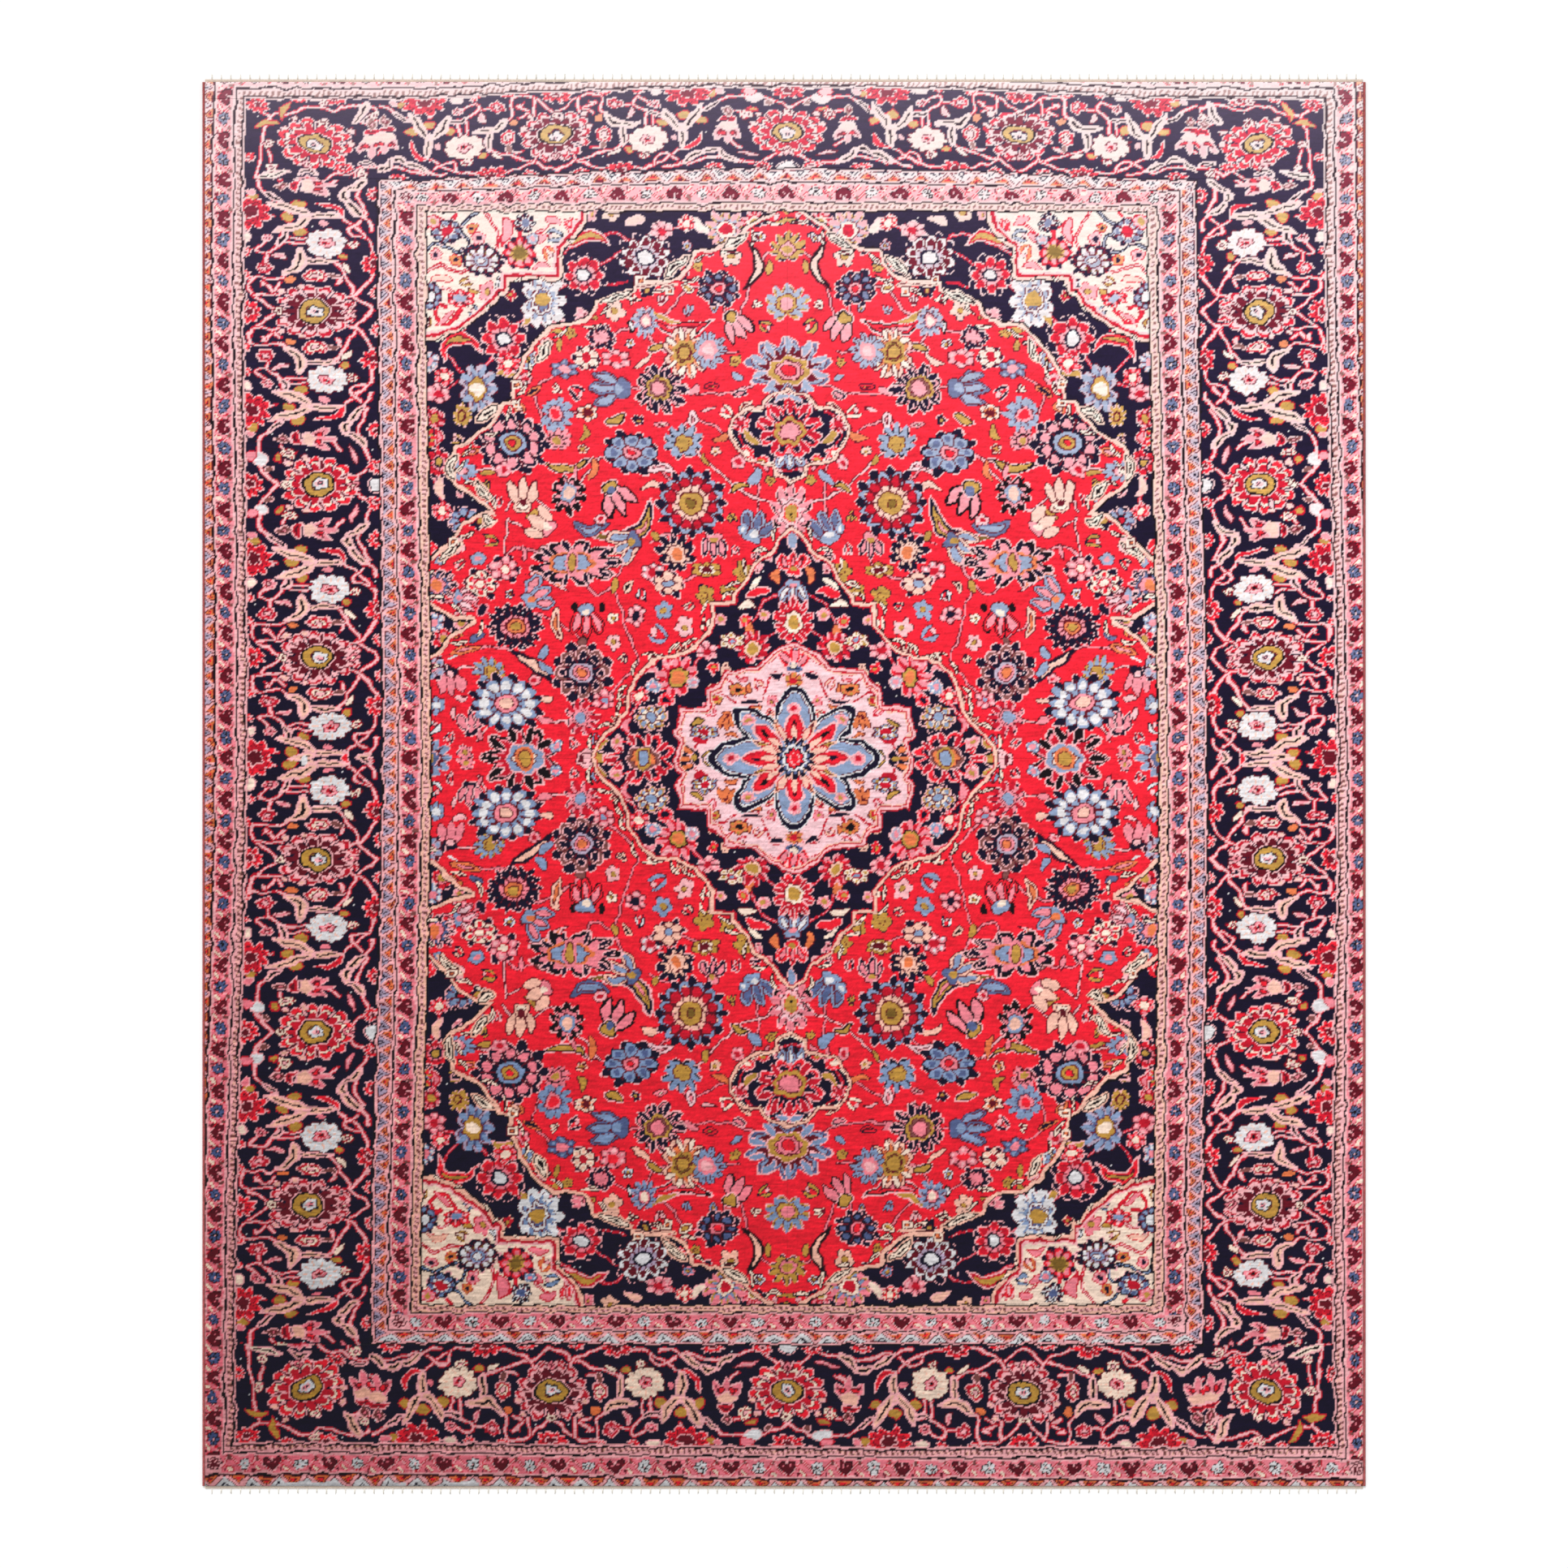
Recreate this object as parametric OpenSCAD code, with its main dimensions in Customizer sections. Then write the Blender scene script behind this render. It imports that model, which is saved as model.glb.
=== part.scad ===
// Hand-knotted wool area rug with a lobed medallion, two pendants, four corner pieces and a
// main border between two guard borders.
//
// X runs across the rug, Y along its length and Z up. The origin is at the middle of the
// underside, where the rug lies on the floor. Every pile area is the set of knots of one
// part of the pattern: they stand side by side on one cotton foundation.

/* [Field] */
// Width of the field inside the borders
field_w = 1521; // [1200:1:1900]
// Length of the field inside the borders
field_l = 2290; // [1800:1:2900]

/* [Borders] */
// Width of the inner guard on the left and right
inner_guard_side = 107; // [70:1:140]
// Width of the inner guard at the near end
inner_guard_near = 87; // [60:1:120]
// Width of the inner guard at the far end
inner_guard_far = 75; // [50:1:110]
// Width of the main border on the left
main_border_left = 279; // [200:1:360]
// Width of the main border on the right
main_border_right = 267; // [200:1:360]
// Width of the main border at the near end
main_border_near = 211; // [150:1:280]
// Width of the main border at the far end
main_border_far = 168; // [120:1:240]
// Width of the outer guard on the left, up to the selvedge
outer_guard_left = 82; // [50:1:120]
// Width of the outer guard on the right, up to the selvedge
outer_guard_right = 65; // [50:1:120]
// Width of the outer guard at the near end, up to the flat-woven end
outer_guard_near = 83; // [40:1:120]
// Width of the outer guard at the far end, up to the flat-woven end
outer_guard_far = 30; // [20:1:120]

/* [Medallion] */
// Width of the medallion
medallion_w = 856; // [600:1:1100]
// Length of the medallion
medallion_l = 974; // [700:1:1200]
// Width of the pale panel inside the medallion
panel_w = 510; // [380:1:560]
// Length of the pale panel inside the medallion
panel_l = 490; // [380:1:560]
// Width of the star at the centre
star_w = 370; // [280:1:374]
// Length of the star at the centre
star_l = 290; // [220:1:340]
// Width of each pendant
pendant_w = 264; // [180:1:340]
// Length of each pendant
pendant_l = 204; // [150:1:260]
// Distance from the middle of the field to the near tip of each pendant
pendant_y = 572; // [490:1:620]

/* [Corners] */
// Width of the pale corner pieces
corner_w = 332; // [240:1:350]
// Length of the pale corner pieces
corner_l = 262; // [200:1:280]

/* [Thickness] */
// Thickness of the cotton foundation
foundation_t = 3; // [2:0.5:5]
// Height of the pile above the foundation
pile_h = 7; // [4:0.5:12]

/* [Edges] */
// Diameter of the overcast side cords
selvedge_d = 6; // [4:0.5:9]
// Length of the flat-woven cotton band at each end
kilim_l = 6; // [3:1:60]
// Thickness of the flat-woven cotton band
kilim_t = 2; // [1:0.5:2]
// Length of the fringe at each end
fringe_l = 12; // [6:1:120]
// Diameter of one fringe bundle
fringe_d = 2; // [1:0.5:4]
// Distance from one fringe bundle to the next
fringe_pitch = 20; // [10:1:60]

/* [Hidden] */
// Points on each bowed stretch of an outline
BOW_STEPS = 5;

// Each border band lies between two rectangles: [left, right, near, far] widths
INNER_BAND = [inner_guard_side, inner_guard_side, inner_guard_near, inner_guard_far];
MAIN_BAND = [main_border_left, main_border_right, main_border_near, main_border_far];
OUTER_BAND = [outer_guard_left, outer_guard_right, outer_guard_near, outer_guard_far];
all_bands = INNER_BAND + MAIN_BAND + OUTER_BAND;

// Pile area, and where the middle of the field lies so that the whole rug is centred
pile_w = field_w + all_bands[0] + all_bands[1];
pile_l = field_l + all_bands[2] + all_bands[3];
field_x = (all_bands[0] - all_bands[1]) / 2;
field_y = (all_bands[2] - all_bands[3]) / 2;

// Rectangles as [left, right, near, far] from the middle of the rug
FIELD_BOX = [field_x - field_w / 2, field_x + field_w / 2, field_y - field_l / 2, field_y + field_l / 2];
function grown(box, band) = [box[0] - band[0], box[1] + band[1], box[2] - band[2], box[3] + band[3]];
INNER_BOX = grown(FIELD_BOX, INNER_BAND);
MAIN_BOX = grown(INNER_BOX, MAIN_BAND);
OUTER_BOX = grown(MAIN_BOX, OUTER_BAND);

// Quarter outlines in shares of the half width and half length. A third number bows the
// stretch from that point to the next, in shares of its length and to the left if positive.
MEDALLION_EDGE = [
    [0, 1, 0.1], [0.1, 0.9], [0.2, 0.845, -0.08], [0.305, 0.71], [0.305, 0.675], [0.41, 0.675],
    [0.41, 0.575, -0.15], [0.665, 0.44, 0.1], [0.82, 0.3], [0.835, 0.205], [0.92, 0.12, 0.1], [1, 0]
];
PANEL_EDGE = [
    [0, 1, 0.08], [0.31, 0.78], [0.58, 0.76, -0.15], [0.72, 0.6], [0.72, 0.45],
    [0.96, 0.44, -0.1], [1, 0.24, 0.1], [0.94, 0.15], [1, 0]
];
STAR_EDGE = [
    [0, 1, -0.15], [0.22, 0.62, -0.04], [0.8, 0.7, -0.05], [0.56, 0.34, -0.08], [1, 0]
];
SIDE_LOBE_EDGE = [[1, 0.17, -0.08], [0.875, 0.246], [0.875, 0.259, -0.12], [1, 0.293]];
FIELD_EDGE = [
    [1, 0.342], [0.934, 0.395, -0.16], [0.811, 0.444, 0.06], [0.919, 0.503], [0.937, 0.521], [0.919, 0.568, 0.1],
    [0.787, 0.646], [0.755, 0.651], [0.755, 0.687, -0.07], [0.646, 0.789], [0.597, 0.79, 0.2],
    [0.525, 0.83], [0.417, 0.854], [0.417, 0.867], [0.348, 0.867, 0.18], [0.249, 0.924],
    [0.197, 0.927], [0.118, 0.953, -0.1], [0, 1]
];
PENDANT_EDGE = [
    [0, 1], [0.28, 0.95, 0.05], [0.47, 0.82, 0.2], [0.97, 0.62, 0.1], [0.97, 0.5],
    [0.85, 0.34, 0.1], [0.59, 0.22], [0.27, 0.19], [0.27, 0.09], [0, 0]
];
CORNER_EDGE = [
    [0, 1, 0.08], [0.28, 0.845, 0.08], [0.45, 0.63], [0.49, 0.63], [0.49, 0.51],
    [0.83, 0.51], [0.83, 0.28, 0.1], [1, 0]
];

// Points from a to b on a shallow curve, with the last one left out
function bowed(a, b, bow) =
    bow == undef ? [[a[0], a[1]]] :
    let (along = [b[0] - a[0], b[1] - a[1]], side = [-along[1], along[0]])
    [for (i = [0:BOW_STEPS - 1]) let (t = i / BOW_STEPS)
        [a[0], a[1]] + along * t + side * (4 * bow * t * (1 - t))];

// A quarter outline at full size, for half width w and half length l
function outline(edge, w, l) =
    let (full = [for (p = edge) [p[0] * w, p[1] * l, p[2]]], last = len(full) - 1)
    [for (i = [0:last - 1]) each bowed(full[i], full[i + 1], full[i][2]),
     [full[last][0], full[last][1]]];

// The points of an outline in mirror image and in the other order, without its two ends
function mirrored(points, flip_x, flip_y) =
    [for (i = [len(points) - 2:-1:1]) [points[i][0] * (flip_x ? -1 : 1), points[i][1] * (flip_y ? -1 : 1)]];

// A whole outline, closed about the Y axis, from its +X half
function both_halves(half) = concat(half, mirrored(half, true, false));

// A whole outline, mirrored four ways about its centre, from its +X +Y quarter
function four_quarters(quarter) =
    let (low_end = [for (p = [quarter[0]]) [p[0], -p[1]]])
    both_halves(concat(quarter, mirrored(quarter, false, true), low_end));

// Both ends of what is drawn on the +Y side
module both_ends() {
    children();
    mirror([0, 1]) children();
}

// Both sides of what is drawn on the +X side
module both_sides() {
    children();
    mirror([1, 0]) children();
}

// A pattern shape that is mirrored four ways about its centre, from its quarter outline
module quartered(edge, w, l) {
    polygon(four_quarters(outline(edge, w / 2, l / 2)));
}

// The wool knots that stand on the foundation over a flat shape
module pile() {
    translate([0, 0, foundation_t]) linear_extrude(pile_h) children();
}

module about_field() {
    translate([field_x, field_y]) children();
}

module box_shape(box) {
    translate([box[0], box[2]]) square([box[1] - box[0], box[3] - box[2]]);
}

module medallion_shape() {
    quartered(MEDALLION_EDGE, medallion_w, medallion_l);
}

module panel_shape() {
    quartered(PANEL_EDGE, panel_w, panel_l);
}

module star_shape() {
    quartered(STAR_EDGE, star_w, star_l);
}

module pendant_shape() {
    translate([0, pendant_y]) polygon(both_halves(outline(PENDANT_EDGE, pendant_w / 2, pendant_l)));
}

// Everything between the field's lobed edge and its frame, in the corner of the +X +Y quarter
module lobe_shape() {
    polygon(outline(SIDE_LOBE_EDGE, field_w / 2, field_l / 2));
    polygon(concat(outline(FIELD_EDGE, field_w / 2, field_l / 2), [[field_w / 2, field_l / 2]]));
}

// The pale piece that fills the frame's corner in the +X +Y quarter
module corner_shape() {
    translate([field_w / 2, field_l / 2]) mirror([1, 0]) mirror([0, 1])
        polygon(concat([[0, 0]], outline(CORNER_EDGE, corner_w, corner_l)));
}

// Turns a shape of the +X +Y quarter into the one of the given side and end
module in_quarter(side, end) {
    about_field() mirror([side < 0 ? 1 : 0, 0]) mirror([0, end < 0 ? 1 : 0]) children();
}

module foundation() {
    color("ivory") linear_extrude(foundation_t) box_shape(OUTER_BOX);
}

// Two warps bound together with wool: round outside, flat where it joins the foundation
module selvedge(side) {
    edge_x = side < 0 ? OUTER_BOX[0] : OUTER_BOX[1];
    color("firebrick") translate([edge_x, OUTER_BOX[3], 0]) rotate([90, 0, 0])
        linear_extrude(pile_l) mirror([side < 0 ? 1 : 0, 0]) {
            translate([selvedge_d / 2, selvedge_d / 2]) circle(d = selvedge_d, $fn = 32);
            square([selvedge_d / 2, min(foundation_t, selvedge_d)]);
        }
}

module kilim_end(end) {
    edge_y = end < 0 ? OUTER_BOX[2] - kilim_l : OUTER_BOX[3];
    color("linen") translate([OUTER_BOX[0], edge_y, 0]) cube([pile_w, kilim_l, kilim_t]);
}

// Warp ends gathered in bundles that lie on the floor
module fringe(end) {
    count = floor(pile_w / fringe_pitch);
    first_x = (pile_w - (count - 1) * fringe_pitch) / 2;
    edge_y = end < 0 ? OUTER_BOX[2] - kilim_l : OUTER_BOX[3] + kilim_l + fringe_l;
    color("ivory") for (i = [0:count - 1])
        translate([OUTER_BOX[0] + first_x + i * fringe_pitch, edge_y, fringe_d / 2])
            rotate([90, 0, 0]) cylinder(d = fringe_d, h = fringe_l, $fn = 16);
}

module field() {
    color("crimson") pile() difference() {
        box_shape(FIELD_BOX);
        about_field() {
            medallion_shape();
            both_ends() pendant_shape();
            both_ends() both_sides() lobe_shape();
        }
    }
}

module medallion() {
    color("midnightblue") pile() about_field() difference() {
        medallion_shape();
        panel_shape();
    }
}

module medallion_panel() {
    color("pink") pile() about_field() difference() {
        panel_shape();
        star_shape();
    }
}

module medallion_star() {
    color("lightsteelblue") pile() about_field() star_shape();
}

module pendant(end) {
    color("midnightblue") pile() in_quarter(1, end) pendant_shape();
}

module spandrel(side, end) {
    color("midnightblue") pile() in_quarter(side, end) difference() {
        lobe_shape();
        corner_shape();
    }
}

module corner(side, end) {
    color("bisque") pile() in_quarter(side, end) corner_shape();
}

// One side of a band between two boxes. The side bands fit between the two end bands.
module side_band(side, outer, inner, tint) {
    left = side < 0 ? outer[0] : inner[1];
    right = side < 0 ? inner[0] : outer[1];
    color(tint) pile() box_shape([left, right, inner[2], inner[3]]);
}

module end_band(end, outer, inner, tint) {
    near = end < 0 ? outer[2] : inner[3];
    far = end < 0 ? inner[2] : outer[3];
    color(tint) pile() box_shape([outer[0], outer[1], near, far]);
}

foundation();
selvedge(-1);  // selvedge_left
selvedge(1);  // selvedge_right
kilim_end(-1);  // kilim_end_near
kilim_end(1);  // kilim_end_far
fringe(-1);  // fringe_near
fringe(1);  // fringe_far
field();
medallion();
medallion_panel();
medallion_star();
pendant(-1);  // pendant_near
pendant(1);  // pendant_far
spandrel(-1, -1);  // spandrel_near_left
spandrel(1, -1);  // spandrel_near_right
spandrel(-1, 1);  // spandrel_far_left
spandrel(1, 1);  // spandrel_far_right
corner(-1, -1);  // corner_near_left
corner(1, -1);  // corner_near_right
corner(-1, 1);  // corner_far_left
corner(1, 1);  // corner_far_right
side_band(-1, INNER_BOX, FIELD_BOX, "lightpink");  // inner_guard_left
side_band(1, INNER_BOX, FIELD_BOX, "lightpink");  // inner_guard_right
end_band(-1, INNER_BOX, FIELD_BOX, "lightpink");  // inner_guard_near
end_band(1, INNER_BOX, FIELD_BOX, "lightpink");  // inner_guard_far
side_band(-1, MAIN_BOX, INNER_BOX, "midnightblue");  // main_border_left
side_band(1, MAIN_BOX, INNER_BOX, "midnightblue");  // main_border_right
end_band(-1, MAIN_BOX, INNER_BOX, "midnightblue");  // main_border_near
end_band(1, MAIN_BOX, INNER_BOX, "midnightblue");  // main_border_far
side_band(-1, OUTER_BOX, MAIN_BOX, "lightpink");  // outer_guard_left
side_band(1, OUTER_BOX, MAIN_BOX, "lightpink");  // outer_guard_right
end_band(-1, OUTER_BOX, MAIN_BOX, "lightpink");  // outer_guard_near
end_band(1, OUTER_BOX, MAIN_BOX, "lightpink");  // outer_guard_far
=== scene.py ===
"""A hand-knotted wool rug, lying flat, with its pile, foundation, selvedges, end bands and fringes.

The pattern is drawn as a weaver's cartoon: one quarter of the field, one repeat of the border, one corner
of the border and one repeat of each guard stripe. Every knot of the pile then takes the dye that the
cartoon has at its place, and each area of the pattern is a piece of pile of its own.
Cartoon lengths are in millimetres, and Blender's are in metres.
"""

import math

import bmesh
import bpy
import numpy as np
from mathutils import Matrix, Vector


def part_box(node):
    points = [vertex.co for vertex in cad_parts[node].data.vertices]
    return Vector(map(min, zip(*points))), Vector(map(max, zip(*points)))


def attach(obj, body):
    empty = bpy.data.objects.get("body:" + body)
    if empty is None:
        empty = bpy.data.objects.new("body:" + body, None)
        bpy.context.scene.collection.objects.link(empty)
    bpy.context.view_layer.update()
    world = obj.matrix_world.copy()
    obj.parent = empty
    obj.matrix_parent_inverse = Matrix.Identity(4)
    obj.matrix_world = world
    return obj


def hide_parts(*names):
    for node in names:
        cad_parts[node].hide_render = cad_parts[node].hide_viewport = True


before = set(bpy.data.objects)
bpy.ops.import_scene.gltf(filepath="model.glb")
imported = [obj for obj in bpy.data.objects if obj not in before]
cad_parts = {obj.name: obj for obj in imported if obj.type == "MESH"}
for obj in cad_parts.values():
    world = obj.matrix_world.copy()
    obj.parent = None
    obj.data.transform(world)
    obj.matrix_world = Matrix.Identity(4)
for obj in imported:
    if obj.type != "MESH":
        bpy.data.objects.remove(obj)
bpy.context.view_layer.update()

MM = 0.001
KNOT = 3.0
SEED = 7


# ---------------------------------------------------------------- places from the frame


def span(node):
    """A node's box in millimetres: left, right, near and far edge, bottom and top"""
    low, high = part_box(node)
    return [value / MM for pair in zip(low, high) for value in pair]


FIELD_LEFT, FIELD_RIGHT, FIELD_NEAR, FIELD_FAR, PILE_BOTTOM, PILE_TOP = span("field")
CENTRE_X = (FIELD_LEFT + FIELD_RIGHT) / 2
CENTRE_Y = (FIELD_NEAR + FIELD_FAR) / 2
HALF_W = (FIELD_RIGHT - FIELD_LEFT) / 2
HALF_L = (FIELD_FAR - FIELD_NEAR) / 2
RUG_LEFT, RUG_RIGHT, RUG_NEAR, RUG_FAR = span("foundation")[:4]
BANDS = ("inner_guard", "main_border", "outer_guard")
SIDES, ENDS = ("left", "right"), ("near", "far")


def band_widths():
    """How wide each band is woven at each side and each end"""
    widths = {}
    for band in BANDS:
        for side in SIDES:
            left, right = span(f"{band}_{side}")[:2]
            widths[band, side] = right - left
        for end in ENDS:
            near, far = span(f"{band}_{end}")[2:4]
            widths[band, end] = far - near
    return widths


BAND_W = band_widths()


# ---------------------------------------------------------------- dyes

DYES = {
    "red": (0.93, 0.12, 0.19),
    "crimson": (0.76, 0.08, 0.17),
    "maroon": (0.38, 0.05, 0.12),
    "brown": (0.46, 0.25, 0.24),
    "pink": (0.94, 0.46, 0.52),
    "rose": (0.97, 0.66, 0.68),
    "blush": (0.96, 0.74, 0.77),
    "peach": (0.96, 0.70, 0.61),
    "ivory": (0.97, 0.85, 0.76),
    "white": (0.86, 0.85, 0.86),
    "lilac": (0.66, 0.58, 0.68),
    "blue": (0.45, 0.54, 0.69),
    "slate": (0.29, 0.34, 0.51),
    "navy": (0.08, 0.05, 0.15),
    "black": (0.07, 0.02, 0.06),
    "gold": (0.72, 0.53, 0.22),
    "olive": (0.47, 0.35, 0.14),
    "orange": (0.88, 0.43, 0.24),
}
DYE_NUMBER = {dye: number for number, dye in enumerate(DYES)}
CORRODED = ("navy", "black", "maroon", "brown")
LINES = ("navy", "black", "maroon", "crimson", "rose")
LINE_W = 1.8


# ---------------------------------------------------------------- the cartoon


def rings_of(text):
    """The rings of a shape from its rim inwards: "black 3 pink" is 3 of black round a pink middle"""
    words = text.split()
    widths = [float(word) for word in words[1::2]] + [math.inf]
    return list(zip(words[::2], widths))


def smooth(points, step, closed=False):
    """Points about a step apart on a soft curve through the given ones"""
    ends = (points[-1], points[0], points[1]) if closed else (points[0], points[-1], points[-1])
    way = [ends[0], *points, *ends[1:]]
    curve = []
    for a, b, c, d in zip(way, way[1:], way[2:], way[3:]):
        a, b, c, d = (np.array(p, float) for p in (a, b, c, d))
        count = max(2, math.ceil(np.linalg.norm(c - b) / step))
        for t in np.arange(count) / count:
            curve.append(b + 0.5 * t * (c - a + t * (2 * a - 5 * b + 4 * c - d + t * (3 * (b - c) + d - a))))
    return curve if closed else [*curve, np.array(points[-1], float)]


class Cartoon:
    """A drawing on squared paper, with the number of a dye in each square"""

    def __init__(self, width, length, ground, square=1.0):
        self.square = square
        self.line = min(square, 1.0)
        size = (math.ceil(length / square), math.ceil(width / square))
        self.dyes = np.full(size, DYE_NUMBER[ground], np.uint8)

    def window(self, left, right, near, far):
        """The squares between four edges, and the places of their middles"""
        rows, columns = self.dyes.shape
        first, last = (int(np.clip(edge / self.square, 0, columns)) for edge in (left, right + self.square))
        low, high = (int(np.clip(edge / self.square, 0, rows)) for edge in (near, far + self.square))
        across = (np.arange(first, last) + 0.5) * self.square
        along = (np.arange(low, high) + 0.5) * self.square
        return self.dyes[low:high, first:last], across, along

    def fill(self, part, depth, rings):
        """Colours the squares by how deep they lie inside a shape, with a dark line between two pale rings"""
        start, before = 0.0, "black"
        for dye, width in rings_of(rings):
            part[depth >= start] = DYE_NUMBER[dye]
            if dye not in LINES and before not in LINES:
                part[(depth >= start) & (depth < start + LINE_W * self.line)] = DYE_NUMBER["maroon"]
            start, before = start + width, dye

    def flower(self, x, y, half_w, half_l, rings, petals=0, turn=0.0, notch=0.25):
        """An oval, or a flower's outline with that many petals"""
        reach = max(half_w, half_l)
        part, across, along = self.window(x - reach, x + reach, y - reach, y + reach)
        c, s = math.cos(math.radians(turn)), math.sin(math.radians(turn))
        u = ((across[None, :] - x) * c + (along[:, None] - y) * s) / half_w
        v = ((along[:, None] - y) * c - (across[None, :] - x) * s) / half_l
        edge = 1.0
        if petals:
            edge = 1 - notch * (1 - np.abs(np.cos((np.arctan2(v, u) - math.pi / 2) * petals / 2)))
        self.fill(part, (edge - np.hypot(u, v)) * min(half_w, half_l), rings)

    def leaf(self, points, width, rings, blunt=0.0):
        """A curved leaf along its spine. Blunt is the share of its width that is left at the tips"""
        spine = smooth(points, 1.5 * self.square)
        xs, ys = zip(*spine)
        reach = width / 2
        part, across, along = self.window(min(xs) - reach, max(xs) + reach, min(ys) - reach, max(ys) + reach)
        depth = np.full(part.shape, -1.0)
        for step, (x, y) in enumerate(spine):
            half = reach * (blunt + (1 - blunt) * math.sin(math.pi * step / (len(spine) - 1)))
            beside = slice(*np.searchsorted(across, (x - half, x + half)))
            ahead = slice(*np.searchsorted(along, (y - half, y + half)))
            near = half - np.hypot(across[None, beside] - x, along[ahead, None] - y)
            depth[ahead, beside] = np.maximum(depth[ahead, beside], near)
        self.fill(part, depth, rings)

    def vine(self, points, width, rings):
        """A stem, as wide at its ends as in its middle"""
        self.leaf(points, width, rings, blunt=1.0)

    def patch(self, points, rings):
        """A shape with straight edges between its points"""
        xs, ys = zip(*points)
        part, across, along = self.window(min(xs), max(xs), min(ys), max(ys))
        x, y = across[None, :], along[:, None]
        inside = np.zeros(part.shape, bool)
        nearest = np.full(part.shape, np.inf)
        for (ax, ay), (bx, by) in zip(points, [*points[1:], points[0]]):
            if ay != by:
                inside ^= ((ay > y) != (by > y)) & (x < (bx - ax) * (y - ay) / (by - ay) + ax)
            way = max((bx - ax) ** 2 + (by - ay) ** 2, 1e-9)
            t = np.clip(((x - ax) * (bx - ax) + (y - ay) * (by - ay)) / way, 0, 1)
            nearest = np.minimum(nearest, np.hypot(x - ax - t * (bx - ax), y - ay - t * (by - ay)))
        self.fill(part, np.where(inside, nearest, -1), rings)

    def at(self, x, y):
        """The dye numbers at these places, which are held inside the drawing"""
        rows, columns = self.dyes.shape
        row = np.clip((y / self.square).astype(int), 0, rows - 1)
        column = np.clip((x / self.square).astype(int), 0, columns - 1)
        return self.dyes[row, column]


# ---------------------------------------------------------------- the flowers


def turned(x, y, beside, ahead, turn):
    """The place beside and ahead of a point, for something that is turned about it"""
    c, s = math.cos(math.radians(turn)), math.sin(math.radians(turn))
    return x + beside * c - ahead * s, y + beside * s + ahead * c


def petal_place(x, y, half_w, half_l, share, petal, petals, turn=0.0):
    """A place that share of the way from a flower's middle to the tip of one of its petals"""
    angle = 2 * math.pi * petal / petals
    return turned(x, y, share * half_w * math.sin(angle), share * half_l * math.cos(angle), turn)


# Half widths from which a rosette is drawn with veins and deep notches, and with sepals behind it
VEINED, SEPALLED = 17, 24


def rosette(c, x, y, half_w, half_l, petals, turn, rings, spots, heart):
    """A round flower seen from the front, with a spot in each petal"""
    size = min(half_w, half_l)
    if size > SEPALLED:
        c.flower(x, y, 1.14 * half_w, 1.14 * half_l, "rose 2 navy", petals, turn + 180 / petals, 0.4)
    c.flower(x, y, half_w, half_l, rings, petals, turn, 0.3 if size > VEINED else 0.2)
    for petal in range(petals):
        if size > VEINED:
            inner = petal_place(x, y, half_w, half_l, 0.4, petal + 0.5, petals, turn)
            outer = petal_place(x, y, half_w, half_l, 0.8, petal + 0.5, petals, turn)
            c.vine([inner, outer], 3 * c.line, "maroon")
        spot = petal_place(x, y, half_w, half_l, 0.66, petal, petals, turn)
        c.flower(*spot, 0.17 * size, 0.17 * size, spots, 0 if petal % 2 else 3, 60 * petal)
    c.flower(x, y, 0.38 * half_w, 0.38 * half_l, heart)


def palmette(c, x, y, half_w, half_l, turn, rim, petals, collar, core):
    """A large flower seen from the side, that opens towards its tip"""
    c.flower(x, y, half_w, half_l, rim, 9, turn, 0.34)
    size = min(half_w, half_l)
    for petal in range(-4, 5):
        angle = math.radians(36 * petal)
        beside, ahead = 0.7 * half_w * math.sin(angle), 0.7 * half_l * math.cos(angle)
        petal_x, petal_y = turned(x, y, beside, ahead, turn)
        lean = turn - math.degrees(angle)
        tip = turned(petal_x, petal_y, 0, 0.24 * size, lean)
        foot = turned(petal_x, petal_y, 0, -0.24 * size, lean)
        c.leaf([foot, (petal_x, petal_y), tip], 0.26 * size, petals, 0.3)
    base_x, base_y = turned(x, y, 0, -0.1 * half_l, turn)
    c.flower(base_x, base_y, 0.5 * half_w, 0.5 * half_l, collar, 7, turn, 0.15)
    c.flower(base_x, base_y, 0.28 * half_w, 0.3 * half_l, core)


def tulip(c, x, y, half_w, half_l, turn, cup, petals, heart):
    """Three petals that stand in a cup"""
    for beside, lean in ((-0.6, 28), (0.6, -28), (0, 0)):
        foot = turned(x, y, 0.3 * beside * half_w, -0.5 * half_l, turn)
        middle = turned(x, y, beside * half_w, 0.15 * half_l, turn)
        tip = turned(x, y, 1.3 * beside * half_w, half_l * (0.8 if lean else 1), turn)
        c.leaf([foot, middle, tip], 0.75 * half_w, petals)
    foot = turned(x, y, 0, -0.5 * half_l, turn)
    c.flower(*foot, 0.62 * half_w, 0.42 * half_l, cup, 3, turn, 0.2)
    c.flower(*turned(x, y, 0, -0.35 * half_l, turn), 0.25 * half_w, 0.2 * half_l, heart)


def bud(c, x, y, width, length, turn, rings):
    """A closed bud, fuller at its foot than at its tip"""
    tip = turned(x, y, 0, length / 2, turn)
    foot = turned(x, y, 0, -length / 2, turn)
    belly = turned(x, y, 0, -length / 8, turn)
    c.leaf([foot, belly, tip], width, rings, 0.15)


# Flowers are drawn this much fuller than their rows say
FULLNESS = 1.12


def draw(c, rosettes=(), palmettes=(), tulips=(), buds=(), leaves=(), vines=()):
    """Vines first and flowers last, so that each stem ends under its flower"""
    for row in vines:
        c.vine(*row)
    for row in leaves:
        c.leaf(*row)
    for row in buds:
        bud(c, *row)
    for kind, rows in ((tulip, tulips), (palmette, palmettes), (rosette, rosettes)):
        for x, y, half_w, half_l, *rest in rows:
            kind(c, x, y, FULLNESS * half_w, FULLNESS * half_l, *rest)


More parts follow.
